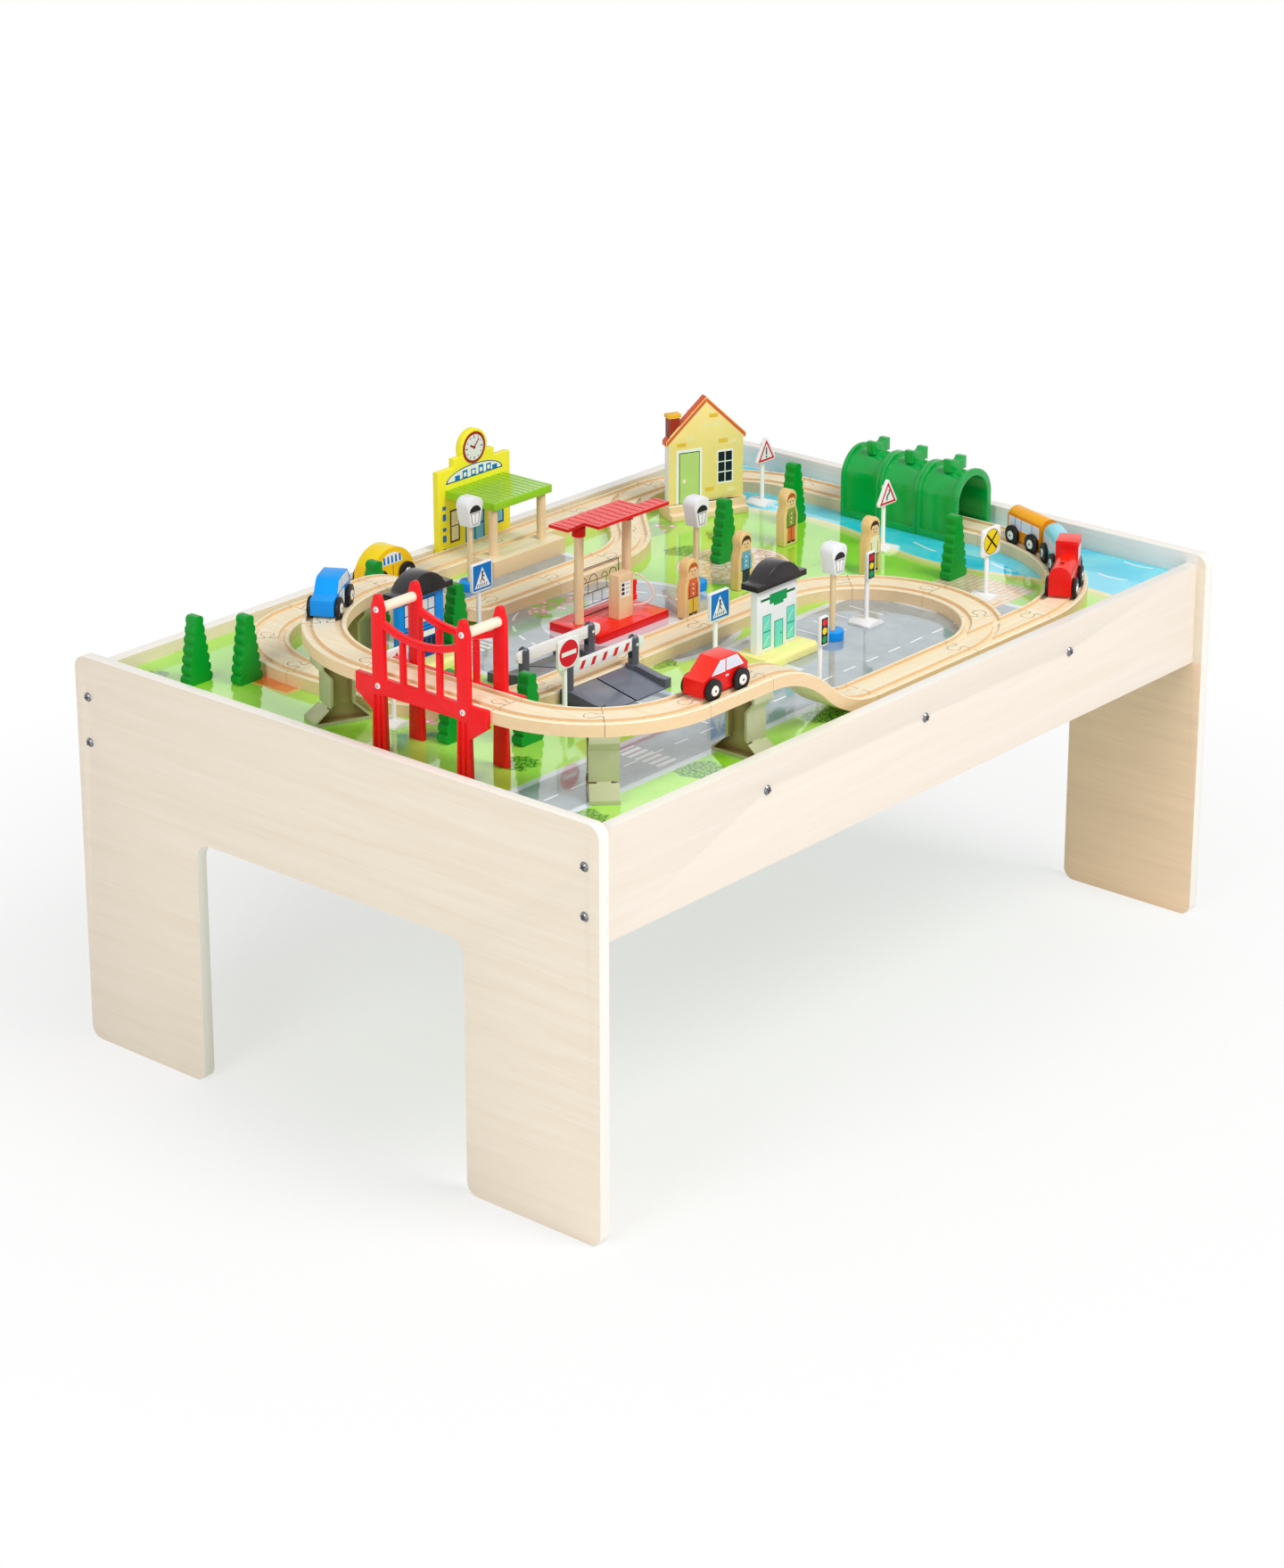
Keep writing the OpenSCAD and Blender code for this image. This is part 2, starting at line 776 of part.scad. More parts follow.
module crossing_ramps() {
    color("DimGray") on_board() {
        translate([crossing_x, mid_y - track_w/2, board_z]) road_ramp();
        translate([crossing_x, mid_y + track_w/2, board_z]) mirror([0, 1, 0]) road_ramp();
    }
}

// A bar with round ends and a pivot pin, its pivot at the origin and its long arm towards -X
module barrier() {
    arm = post_pitch + bar_nose;
    across_y(bar_t) {
        translate([-arm + bar_h/2, -bar_h/2]) square([arm + bar_tail - bar_h, bar_h]);
        translate([-arm + bar_h/2, 0]) circle(bar_h/2);
        translate([bar_tail - bar_h/2, 0]) circle(bar_h/2);
    }
    rotate([90, 0, 0]) cylinder(d = pin_d, h = post_d, center = true);
}

module barrier_front() {
    color("White") on_board() translate([crossing_x + post_pitch/2, mid_y - post_y, board_z + pin_h])
        barrier();
}

module barrier_back() {
    color("White") on_board() translate([crossing_x + post_pitch/2, mid_y + post_y, board_z + pin_h])
        barrier();
}

// Tunnel

tunnel_flange_t = 4;
tunnel_lip_h = 7;
tunnel_end_share = 0.118;
lug_w = 26;
lug_h = 12;
lug_t = 10;
lug_hollow_r = 9;

// An arch with upright sides and a round top
module arch(r, h) {
    translate([-r, 0]) square([2*r, h - r]);
    translate([0, h - r]) circle(r);
}

// One tunnel section along Y, with a flange at each end, a lip at each foot and a lug on top
module tunnel_section() {
    body_r = tunnel_r - flange_out;
    body_h = tunnel_h - flange_out;
    bore_r = body_r - tunnel_wall;
    l = tunnel_l - seam;
    difference() {
        union() {
            across_y(l) arch(body_r, body_h);
            for (s = [-1, 1])
                translate([0, s*(l - tunnel_flange_t)/2, 0]) across_y(tunnel_flange_t)
                    arch(tunnel_r, tunnel_h);
            translate([-tunnel_r, -l/2, 0]) cube([2*tunnel_r, l, tunnel_lip_h]);
            translate([0, 0, body_h - cut]) across_y(lug_t) difference() {
                translate([-lug_w/2, 0]) square([lug_w, lug_h + cut]);
                translate([0, lug_h + cut + lug_hollow_r/2]) circle(lug_hollow_r);
            }
        }
        translate([0, 0, -cut]) across_y(tunnel_l + cut) arch(bore_r, body_h - tunnel_wall + cut);
    }
}

module tunnel_sections() {
    color("ForestGreen") on_board()
    for (i = [0:2])
        translate([right_x, right_c.y + tunnel_end_share*wide_r + (i + 0.5)*tunnel_l, board_z])
            tunnel_section();
}

// Station: a clock wall behind the back track, a platform in front of it, and a roof over the track

station_share = [-0.55, 0];
station_x = inner_c.x + station_share.x*small_r;
station_wall_y0 = back_y + track_w/2 + clear;
station_wall_y1 = plan_w/2 - clear;
station_wall_t = station_wall_y1 - station_wall_y0;
clock_gap = 15;
shoulder_w = 58;
shoulder_h = 9;
platform_gap = 5;
platform_y = back_y - track_w/2 - platform_gap - platform_d;
station_post_d = 9;
station_post_inset = 17;
station_post_y = platform_y + platform_d/2 + platform_gap/2;
station_clear_h = 52;
station_roof_over = 4;
station_roof_end = 10;
station_roof_z = track_z + station_clear_h;
station_roof_l = station_l - 2*station_roof_end;
roof_rib_count = 12;
roof_rib_w = 1.6;
roof_rib_d = 0.8;
socket_d = 4;

module station_wall() {
    color("Gold") on_board()
    translate([station_x, (station_wall_y0 + station_wall_y1)/2, board_z]) across_y(station_wall_t) {
        translate([-station_l/2, 0]) square([station_l, station_h]);
        translate([-shoulder_w/2, 0]) square([shoulder_w, station_h + shoulder_h]);
        translate([0, station_h + clock_gap]) circle(clock_r);
    }
}

module at_station_posts(z) {
    for (s = [-1, 1])
        translate([station_x + s*(station_l/2 - station_post_inset), station_post_y, z]) children();
}

module station_roof() {
    front = station_post_y - station_post_d/2 - station_roof_over;
    depth = station_wall_y0 - front;
    color("LimeGreen") on_board()
    difference() {
        translate([station_x - station_roof_l/2, front, station_roof_z])
            cube([station_roof_l, depth, station_roof_t]);
        for (i = [1:roof_rib_count])
            translate([station_x - station_roof_l/2 + (i - 0.5)*station_roof_l/roof_rib_count - roof_rib_w/2,
                front + station_roof_over/2, station_roof_z + station_roof_t - roof_rib_d])
                cube([roof_rib_w, depth, roof_rib_d + cut]);
        at_station_posts(station_roof_z - cut) cylinder(d = station_post_d + 2*fit, h = socket_d + cut);
    }
}

// The platform and the two posts that stand in it
module station_platform() {
    color("BurlyWood") on_board() {
        difference() {
            translate([station_x - station_l/2, platform_y, board_z])
                cube([station_l, platform_d, platform_h]);
            at_station_posts(board_z + platform_h - socket_d) cylinder(d = station_post_d + 2*fit,
                h = socket_d + cut);
        }
        at_station_posts(board_z + platform_h - socket_d) cylinder(d = station_post_d,
            h = station_roof_z - board_z - platform_h + 2*socket_d);
    }
}

// Garden house: a flat gable front in a slotted plinth

house_share = [-0.06, 0.3];
house_angle = -25;
plinth_w = 84;
plinth_d = 32;
plinth_h = 15;
plinth_step_h = 7;
plinth_step_d = 6;
plinth_slot = 5;
chimney_w = 12;
chimney_h = 92;
chimney_inset = 0.5;
chimney_cap_h = 4;
chimney_cap_over = 1.5;
eave_over = 3;
roof_band_h = 5;

module at_house() {
    at_pose(at_share(corner_c, house_share), board_z, house_angle) children();
}

module house_wall() {
    eave = house_eave_h - roof_band_h;
    color("Khaki") on_board() at_house() translate([0, 0, plinth_h]) across_y(house_t) {
        translate([-house_w/2, -plinth_slot]) square([house_w, eave + plinth_slot]);
        polygon([[-house_w/2, eave], [house_w/2, eave], [house_w/2 + eave_over, house_eave_h - roof_band_h],
            [house_w/2 + eave_over, house_eave_h], [0, house_ridge_h], [-house_w/2 - eave_over, house_eave_h],
            [-house_w/2 - eave_over, house_eave_h - roof_band_h]]);
        translate([chimney_inset - house_w/2, eave]) square([chimney_w, chimney_h - eave]);
        translate([chimney_inset - house_w/2 - chimney_cap_over, chimney_h])
            square([chimney_w + 2*chimney_cap_over, chimney_cap_h]);
    }
}

module house_plinth() {
    color("BurlyWood") on_board() at_house() difference() {
        union() {
            translate([-plinth_w/2 - eave_over/2, -plinth_d/2, 0])
                cube([plinth_w + eave_over, plinth_d, plinth_step_h]);
            translate([-plinth_w/2 - eave_over/2, plinth_step_d - plinth_d/2, 0])
                cube([plinth_w + eave_over, plinth_d - plinth_step_d, plinth_h]);
        }
        translate([-house_w/2 - fit, -house_t/2 - fit, plinth_h - plinth_slot])
            cube([house_w + 2*fit, house_t + 2*fit, plinth_slot + cut]);
    }
}

// Fuel stop: a slab with two posts, a folded canopy, a pump with its hose, and a printed screen

fuel_share = [-1.26, 0.78];
fuel_c = at_share([inner_c.x, mid_y], fuel_share);
fuel_socket = 4;
fuel_post_d = 9;
fuel_post_x = 34;
fuel_post_back = 8;
collar_d = 13;
collar_h = 7;
canopy_t = 3;
canopy_step_h = 11;
canopy_step_w = 20;
canopy_low_w = 24;
canopy_rib_count = 11;
canopy_rib_w = 1.6;
canopy_rib_d = 0.8;
pump_w = 20;
pump_d = 13;
pump_h = 43;
pump_x = 6;
pump_front = 9;
pump_recess = 0.6;
pump_panel_h = 15;
pump_panel_w = 14;
pump_panel_z = 21;
screen_w = 62;
screen_h = 50;
screen_t = 2;
screen_back = 16;
screen_slot = 3;
nozzle_w = 5;
nozzle_h = 20;
nozzle_t = 6;
nozzle_front = 4;
nozzle_z = 14;
nozzle_neck_w = 3.4;

module at_fuel(z) {
    translate([fuel_c.x, fuel_c.y, board_z + z]) children();
}

module at_fuel_posts(z) {
    for (s = [-1, 1])
        at_fuel(z) translate([s*fuel_post_x, fuel_post_back, 0]) children();
}

module fuel_base() {
    color("Red") on_board() difference() {
        at_fuel(0) translate([-fuel_l/2, -fuel_w/2, 0]) cube([fuel_l, fuel_w, fuel_base_t]);
        at_fuel_posts(fuel_base_t - fuel_socket) cylinder(d = fuel_post_d + 2*fit, h = fuel_socket + cut);
        at_fuel(fuel_base_t - screen_slot) translate([-screen_w/2 - fit, screen_back - screen_t/2 - fit, 0])
            cube([screen_w + 2*fit, screen_t + 2*fit, screen_slot + cut]);
    }
}

module fuel_posts() {
    color("BurlyWood") on_board() at_fuel_posts(fuel_base_t - fuel_socket)
        cylinder(d = fuel_post_d, h = fuel_post_h - fuel_base_t + fuel_socket);
}

// The canopy's fold, drawn in y and z: low over the posts, then a slope up to a high front
module canopy_fold() {
    back = fuel_w/2;
    fold = back - canopy_low_w;
    high = fold - canopy_step_w;
    front = -fuel_w/2;
    polygon([[front, canopy_step_h], [high, canopy_step_h], [fold, 0], [back, 0], [back, canopy_t],
        [fold, canopy_t], [high, canopy_step_h + canopy_t], [front, canopy_step_h + canopy_t]]);
}

module fuel_roof() {
    color("Red") on_board() difference() {
        union() {
            at_fuel(fuel_post_h) across_x(fuel_l) canopy_fold();
            at_fuel_posts(fuel_post_h - collar_h) cylinder(d = collar_d, h = collar_h + canopy_t/2);
        }
        at_fuel_posts(fuel_post_h - collar_h - cut) cylinder(d = fuel_post_d + 2*fit, h = collar_h + cut);
        for (i = [1:canopy_rib_count])
            at_fuel(fuel_post_h + canopy_t - canopy_rib_d)
                translate([(i - 0.5)*fuel_l/canopy_rib_count - fuel_l/2, 0, 0]) across_x(canopy_rib_w)
                intersection() {
                    canopy_fold();
                    translate([-fuel_w/2 + canopy_t, -cut])
                        square([fuel_w - 2*canopy_t, canopy_step_h + canopy_t + 2*cut]);
                }
    }
}

module at_pump(z) {
    at_fuel(fuel_base_t + z) translate([pump_x, -pump_front, 0]) children();
}

module fuel_pump() {
    color("BurlyWood") on_board() difference() {
        at_pump(0) translate([-pump_w/2, -pump_d/2, 0]) cube([pump_w, pump_d, pump_h]);
        at_pump(pump_panel_z) translate([-pump_panel_w/2, -pump_d/2 - cut, 0])
            cube([pump_panel_w, cut + pump_recess, pump_panel_h]);
    }
}

module fuel_screen() {
    color("White", 0.3) on_board() at_fuel(fuel_base_t - screen_slot)
        translate([-screen_w/2, screen_back - screen_t/2, 0]) cube([screen_w, screen_t, screen_h]);
}

// The nozzle hangs flat on the side of the pump, wide at both ends and narrow at the grip
module fuel_nozzle() {
    color("Crimson") on_board() at_pump(nozzle_z) translate([pump_w/2 + nozzle_t/2, -nozzle_front, 0])
    across_x(nozzle_t) {
        translate([-nozzle_w/2, 0]) square([nozzle_w, nozzle_h/4]);
        translate([-nozzle_neck_w/2, 0]) square([nozzle_neck_w, nozzle_h]);
        translate([-nozzle_w/2, 3*nozzle_h/4]) square([nozzle_w, nozzle_h/4]);
    }
}

// Route of the hose from the side of the pump round in a loop to the top of the nozzle, from the pump's foot
hose_d = 1.8;
hose_sides = 8;
hose_points = [[10, 0, 9], [13, -0.3, 8], [16.5, -1.2, 7], [20.5, -2.8, 6.4], [24.5, -5, 6.6],
    [28, -7.4, 7.8], [30.8, -9.6, 10], [32.6, -11.2, 13], [33.2, -12, 16.4], [32.8, -12, 19.8],
    [31.6, -11.5, 23], [29.8, -10.6, 26], [27.6, -9.5, 28.9], [25.2, -8.4, 31.6], [22.8, -7.2, 34.2],
    [20.5, -6.1, 36.6], [18.4, -5.2, 38.4], [16.4, -4.5, 39.2], [14.6, -4.1, 38.6], [13.4, -4, 37.2],
    [13, -4, 35.6], [13, -4, 34]];

function unit(v) = v/norm(v);
function hose_dir(i) = let (n = len(hose_points) - 1)
    i == 0 ? unit(hose_points[1] - hose_points[0]) : i == n ? unit(hose_points[n] - hose_points[n - 1]) :
    unit(unit(hose_points[i + 1] - hose_points[i]) + unit(hose_points[i] - hose_points[i - 1]));
function hose_ring(i) = let (d = i == 0 ? [1, 0, 0] : i == len(hose_points) - 1 ? [0, 0, -1] : hose_dir(i),
    side = unit(cross(d, [0, 1, 0])), other = cross(d, side))
    [for (k = [0:hose_sides - 1]) hose_points[i]
        + hose_d/2*(cos(360*k/hose_sides)*side + sin(360*k/hose_sides)*other)];

module fuel_hose() {
    n = len(hose_points);
    m = hose_sides;
    points = [for (i = [0:n - 1]) each hose_ring(i)];
    walls = [for (i = [0:n - 2], k = [0:m - 1]) let (a = i*m + k, b = i*m + (k + 1)%m)
        each [[a, b + m, b], [a, a + m, b + m]]];
    start = [for (k = [1:m - 2]) [0, k, k + 1]];
    end = [for (k = [1:m - 2]) [(n - 1)*m, (n - 1)*m + k + 1, (n - 1)*m + k]];
    color("MistyRose") on_board() at_pump(0) polyhedron(points, concat(walls, start, end));
}

// Town houses: a flat wall in a slotted base, under a deep roof with a round top

town_base_w = 74;
town_base_d = 39;
town_base_h = 10;
town_base_bevel = 3;
town_base_front = 4;
town_slot = 4;
town_roof_w = 72;
town_roof_d = 20;
town_eave_h = 6;
town_arch_w = 52;
town_arch_h = 15;
blue_house_share = [-0.18, 0.27];
white_house_share = [-0.98, 0.21];
blue_house_p = at_share(left_c, blue_house_share);
white_house_p = at_share(inner_c, white_house_share);

module town_wall() {
    translate([0, 0, town_base_h - town_slot]) across_y(town_t) translate([-town_w/2, 0])
        square([town_w, town_h + town_slot]);
}

module town_base() {
    front = -town_base_d/2 - town_base_front;
    back = town_base_d/2 - town_base_front;
    difference() {
        across_x(town_base_w) polygon([[front, 0], [back, 0], [back, town_base_h],
            [front + town_base_bevel, town_base_h], [front, town_base_h - town_base_bevel]]);
        translate([-town_w/2 - fit, -town_t/2 - fit, town_base_h - town_slot])
            cube([town_w + 2*fit, town_t + 2*fit, town_slot + cut]);
    }
}

module town_roof() {
    arch_round = (town_arch_w*town_arch_w/4 + town_arch_h*town_arch_h)/(2*town_arch_h);
    translate([0, 0, town_base_h + town_h]) across_y(town_roof_d) {
        translate([-town_roof_w/2, 0]) square([town_roof_w, town_eave_h]);
        translate([0, town_eave_h]) intersection() {
            translate([0, town_arch_h - arch_round]) circle(arch_round);
            translate([-town_arch_w/2, 0]) square([town_arch_w, town_arch_h]);
        }
    }
}

module blue_house_wall() { color("DodgerBlue") on_board() at_pose(blue_house_p, board_z, 0) town_wall(); }

module white_house_wall() { color("White") on_board() at_pose(white_house_p, board_z, 0) town_wall(); }

module town_house_roofs() {
    color("DarkSlateGray") on_board()
    for (p = [blue_house_p, white_house_p])
        at_pose(p, board_z, 0) town_roof();
}

module town_house_bases() {
    color("LightYellow") on_board()
    for (p = [blue_house_p, white_house_p])
        at_pose(p, board_z, 0) town_base();
}

// Trees: flat cut-outs with scalloped sides, placed round the track plan

tree_tiers = 7;
tree_foot_w = 29;
tree_top_w = 11;
tier_round_share = 0.42;
trunk_foot_share = 0.44;
trunk_top_share = 0.42;
tree_anchors = [left_back_c, left_back_c, right_c, right_c, raised_front_c, left_c, left_c, corner_c,
    left_back_c];
tree_shares = [[-1.62, 0.6], [-1.34, 0.3], [-0.38, 1.49], [0.58, -0.35], [-0.28, 0.45], [0.35, 0.35],
    [-1.2, -1.07], [0.25, -0.51], [0.33, 0.46]];
tree_places = places(tree_anchors, tree_shares);

module tree_outline() {
    tier = tree_h/tree_tiers;
    for (i = [0:tree_tiers - 1]) {
        w = tree_foot_w + (tree_top_w - tree_foot_w)*i/(tree_tiers - 1);
        translate([0, i*tier]) round_rect(w, tier, tier*tier_round_share);
    }
    foot = tree_foot_w*trunk_foot_share;
    top = tree_top_w*trunk_top_share;
    polygon([[-foot, 0], [foot, 0], [top, tree_h - tier/2], [-top, tree_h - tier/2]]);
}

module trees() {
    color("SeaGreen") on_board()
    for (p = tree_places)
        at_pose(p, board_z, 0) across_y(tree_t) tree_outline();
}

// Figures: flat peg people with a round head and sloping shoulders

figure_w = 22;
figure_t = 11;
figure_head_d = 18;
figure_neck_w = 16;
figure_shoulder_share = 0.55;
figure_anchors = [inner_c, inner_c, right_c, right_c];
figure_shares = [[-0.67, 1.39], [0.2, 1.51], [0.35, 1.35], [0.2, 0.29]];
figure_places = places(figure_anchors, figure_shares);

module figure_outline() {
    half = figure_w/2;
    neck = figure_neck_w/2;
    shoulder_z = figure_h*figure_shoulder_share;
    neck_z = figure_h - figure_head_d;
    polygon([[-half, 0], [half, 0], [half, shoulder_z], [neck, neck_z], [neck, neck_z + figure_head_d/2],
        [-neck, neck_z + figure_head_d/2], [-neck, neck_z], [-half, shoulder_z]]);
    translate([0, figure_h - figure_head_d/2]) circle(figure_head_d/2);
}

module figures() {
    color("BurlyWood") on_board()
    for (p = figure_places)
        at_pose(p, board_z, 0) across_y(figure_t) figure_outline();
}

// Street lamps: a round base, a dowel post and a lantern head that tapers downwards

lamp_base_d = 22;
lamp_base_h = 9;
lamp_post_d = 5.6;
lamp_head_h = 29;
lamp_head_w = 22;
lamp_head_foot_w = 13;
lamp_head_t = 15;
lamp_head_round = 8;
lamp_socket = 4;
lamp_anchors = [[inner_c.x, back_y], inner_c, inner_c];
lamp_shares = [[-1.37, -0.52], [-0.08, 1.8], [-0.32, 0.1]];
lamp_places = places(lamp_anchors, lamp_shares);

module at_lamps(z) {
    for (p = lamp_places)
        at_pose(p, board_z + z, 0) children();
}

module lamp_bases() {
    color("DeepSkyBlue") on_board() at_lamps(0) difference() {
        cylinder(d = lamp_base_d, h = lamp_base_h);
        translate([0, 0, lamp_base_h - lamp_socket]) cylinder(d = lamp_post_d + 2*fit, h = lamp_socket + cut);
    }
}

module lamp_posts() {
    color("BurlyWood") on_board() at_lamps(lamp_base_h - lamp_socket)
        cylinder(d = lamp_post_d, h = lamp_h - lamp_head_h - lamp_base_h + 2*lamp_socket);
}

module lamp_head_outline() {
    brow = lamp_head_h - lamp_head_round;
    polygon([[-lamp_head_foot_w/2, 0], [lamp_head_foot_w/2, 0], [lamp_head_w/2, brow],
        [-lamp_head_w/2, brow]]);
    translate([lamp_head_round - lamp_head_w/2, brow])
        square([lamp_head_w - 2*lamp_head_round, lamp_head_round]);
    for (s = [-1, 1])
        translate([s*(lamp_head_w/2 - lamp_head_round), brow]) intersection() {
            circle(lamp_head_round);
            translate([-lamp_head_round, 0]) square([2*lamp_head_round, lamp_head_round]);
        }
}

module lamp_heads() {
    color("WhiteSmoke") on_board() at_lamps(lamp_h - lamp_head_h) difference() {
        across_y(lamp_head_t) lamp_head_outline();
        translate([0, 0, -cut]) cylinder(d = lamp_post_d + 2*fit, h = lamp_socket + cut);
    }
}

// Road signs: a stand with a foot and a round post, and a plate that hangs on the front of the post

sign_foot_w = 24;
sign_foot_d = 25;
sign_foot_t = 1.5;
sign_foot_h = 5;
sign_plate_t = 3;
sign_square = 28;
sign_corner_r = 3;
sign_triangle = 30;
sign_triangle_r = 2.5;
light_w = 12;
light_h = 28;
square_anchors = [left_c, inner_c, left_c, left_c, right_c];
square_shares = [[0.74, 0.45], [-1.44, 0.46], [-1.26, -0.48], [-0.2, -1.36], [0.32, -0.89]];
triangle_anchors = [corner_c, right_c];
triangle_shares = [[0.53, 0.08], [0.83, 0.62]];
light_anchors = [inner_c, inner_c];
light_shares = [[0.18, 0.12], [-1.38, -0.59]];
square_places = places(square_anchors, square_shares);
triangle_places = places(triangle_anchors, triangle_shares);
light_places = places(light_anchors, light_shares);
sign_places = concat(square_places, triangle_places, light_places);

// A low foot with a round top, drawn in x and z
module sign_foot() {
    crown = sign_foot_h - sign_foot_t;
    crown_r = (sign_foot_w*sign_foot_w/4 + crown*crown)/(2*crown);
    translate([-sign_foot_w/2, 0]) square([sign_foot_w, sign_foot_t]);
    translate([0, sign_foot_t]) intersection() {
        translate([0, crown - crown_r]) circle(crown_r);
        translate([-sign_foot_w/2, 0]) square([sign_foot_w, crown]);
    }
}

module sign_stands() {
    color("White") on_board()
    for (p = sign_places)
        at_pose(p, board_z, 0) {
            across_y(sign_foot_d) sign_foot();
            cylinder(d = sign_post_d, h = sign_h - sign_square/4);
        }
}

// Rounded triangle standing on its base, from three corner discs and the sides between them
module triangle_outline() {
    high = sign_triangle*sin(60) - 2*sign_triangle_r;
    half = sign_triangle/2 - sign_triangle_r;
    tip = sign_triangle_r;
    polygon([[-half, 0], [half, 0], [half + tip*sin(60), tip + tip*cos(60)],
        [tip*sin(60), high + tip + tip*cos(60)],
        [-tip*sin(60), high + tip + tip*cos(60)], [-half - tip*sin(60), tip + tip*cos(60)]]);
    for (c = [[-half, tip], [half, tip], [0, high + tip]])
        translate(c) circle(sign_triangle_r);
}

module at_plates(spots, h) {
    for (p = spots)
        at_pose(p - [0, (sign_post_d + sign_plate_t)/2], board_z + sign_h - h, 0)
            across_y(sign_plate_t) children();
}

module sign_plates() {
    color("White") on_board() {
        at_plates(square_places, sign_square) round_rect(sign_square, sign_square, sign_corner_r);
        at_plates(triangle_places, sign_triangle*sin(60)) triangle_outline();
        at_plates(light_places, light_h) round_rect(light_w, light_h, sign_corner_r);
    }
}

// Vehicles: each is drawn with the track's top under its middle at z = 0 and its front towards +X

axle_z = wheel_d/2 - groove_d + clear;
hub_d = 9;
hub_t = 1;
raised_car_share = 0.36;
yellow_car_share = 1;
blue_car_angle = 120;
loco_angle = -63.7;
blue_wagon_angle = -41;
orange_wagon_angle = -19.6;

red_car_p = [raised_front_c.x + raised_car_share*(raised_front_x - raised_front_c.x), front_y];
yellow_car_p = [left_back_c.x + yellow_car_share*small_r, back_y];

// Places a vehicle on a curve with both of its axles over the middle of the track
module on_curve(c, r, angle, wheelbase, z, turn) {
    seat_r = sqrt(r*r - wheelbase*wheelbase/4);
    at_pose(c + seat_r*[cos(angle), sin(angle)], z, angle + turn*90) children();
}

module at_red_car() { at_pose(red_car_p, raised_top_z, 180) children(); }

module at_yellow_car() { at_pose(yellow_car_p, track_z, 0) children(); }

module at_blue_car() {
    on_curve(raised_back_c, raised_r, blue_car_angle, car_wheelbase, raised_top_z, 1) children();
}

module at_loco() { on_curve(right_c, wide_r, loco_angle, loco_wheelbase, track_z, -1) children(); }

module at_wagon(angle) { on_curve(right_c, wide_r, angle, wagon_wheelbase, track_z, -1) children(); }

module axle_holes(wheelbase) {
    for (s = [-1, 1])
        translate([s*wheelbase/2, 0, axle_z]) rotate([90, 0, 0])
            cylinder(d = axle_d + 2*running, h = body_w + 2*cut, center = true);
}

// An axle with a wheel and a hub cap at each end
module wheelset(along) {
    translate([along, 0, axle_z]) rotate([90, 0, 0]) {
        cylinder(d = axle_d, h = gauge + wheel_t, center = true);
        for (s = [-1, 1]) {
            translate([0, 0, s*gauge/2]) cylinder(d = wheel_d, h = wheel_t, center = true);
            translate([0, 0, s*(gauge + wheel_t + hub_t)/2]) cylinder(d = hub_d, h = hub_t, center = true);
        }
    }
}

module outline_body(shares) {
    translate([0, 0, ride_h]) across_y(body_w)
        polygon([for (p = shares) [p.x*car_l, p.y*car_h]]);
}

red_car_shares = [[-0.5, 0], [0.5, 0], [0.5, 0.5], [0.36, 0.58], [0.12, 1], [-0.27, 1], [-0.5, 0.6]];
blue_car_shares = [[-0.5, 0], [0.5, 0], [0.5, 0.5], [0.27, 0.58], [0.14, 0.93], [0.06, 1], [-0.34, 1],
    [-0.5, 0.64]];

module red_car_body() {
    color("Red") on_board() at_red_car() difference() {
        outline_body(red_car_shares);
        axle_holes(car_wheelbase);
    }
}

module blue_car_body() {
    color("DodgerBlue") on_board() at_blue_car() difference() {
        outline_body(blue_car_shares);
        axle_holes(car_wheelbase);
    }
}

sill_share = 0.3;

// A round-backed car: one arc from bumper to bumper
module yellow_car_body() {
    sill = sill_share*round_car_h;
    crown = round_car_h - sill;
    crown_r = (car_l*car_l/4 + crown*crown)/(2*crown);
    color("Gold") on_board() at_yellow_car() difference() {
        translate([0, 0, ride_h]) across_y(body_w) {
            translate([-car_l/2, 0]) square([car_l, sill]);
            translate([0, sill]) intersection() {
                translate([0, crown - crown_r]) circle(crown_r, $fn = 96);
                translate([-car_l/2, 0]) square([car_l, crown]);
            }
        }
        axle_holes(car_wheelbase);
    }
}

boiler_h = 29;
cab_l = 24;
cab_h = 42;
cab_roof_t = 4;
cab_roof_over = 2;
chimney_hole_d = 4.5;
chimney_hole_depth = 4;

module round_top(h) {
    r = body_w/2;
    translate([-r, 0]) square([body_w, h - r]);
    translate([0, h - r]) circle(r);
}

module loco_body() {
    boiler_l = loco_l - cab_l;
    color("Red") on_board() at_loco() difference() {
        translate([0, 0, ride_h]) {
            translate([(loco_l - boiler_l)/2, 0, 0]) across_x(boiler_l) round_top(boiler_h);
            translate([(cab_l - loco_l)/2, 0, 0]) across_x(cab_l) translate([-body_w/2, 0])
                square([body_w, cab_h - cab_roof_t]);
            translate([(cab_l - loco_l + cab_roof_over)/2, 0, 0]) across_x(cab_l + cab_roof_over)
                translate([0, cab_h - cab_roof_t]) round_rect(body_w, cab_roof_t, cab_roof_t/3);
        }
        translate([loco_l/2 - boiler_l/3, 0, ride_h + boiler_h - chimney_hole_depth])
            cylinder(d = chimney_hole_d, h = chimney_hole_depth + cut);
        axle_holes(loco_wheelbase);
    }
}

module wagon_body() {
    difference() {
        translate([0, 0, ride_h]) across_x(wagon_l) round_top(wagon_h);
        axle_holes(wagon_wheelbase);
    }
}

module blue_wagon_body() { color("LightSkyBlue") on_board() at_wagon(blue_wagon_angle) wagon_body(); }

module orange_wagon_body() { color("Orange") on_board() at_wagon(orange_wagon_angle) wagon_body(); }

module red_car_front_wheels() { color("DimGray") on_board() at_red_car() wheelset(car_wheelbase/2); }

module red_car_rear_wheels() { color("DimGray") on_board() at_red_car() wheelset(-car_wheelbase/2); }

module blue_car_front_wheels() { color("DimGray") on_board() at_blue_car() wheelset(car_wheelbase/2); }

module blue_car_rear_wheels() { color("DimGray") on_board() at_blue_car() wheelset(-car_wheelbase/2); }

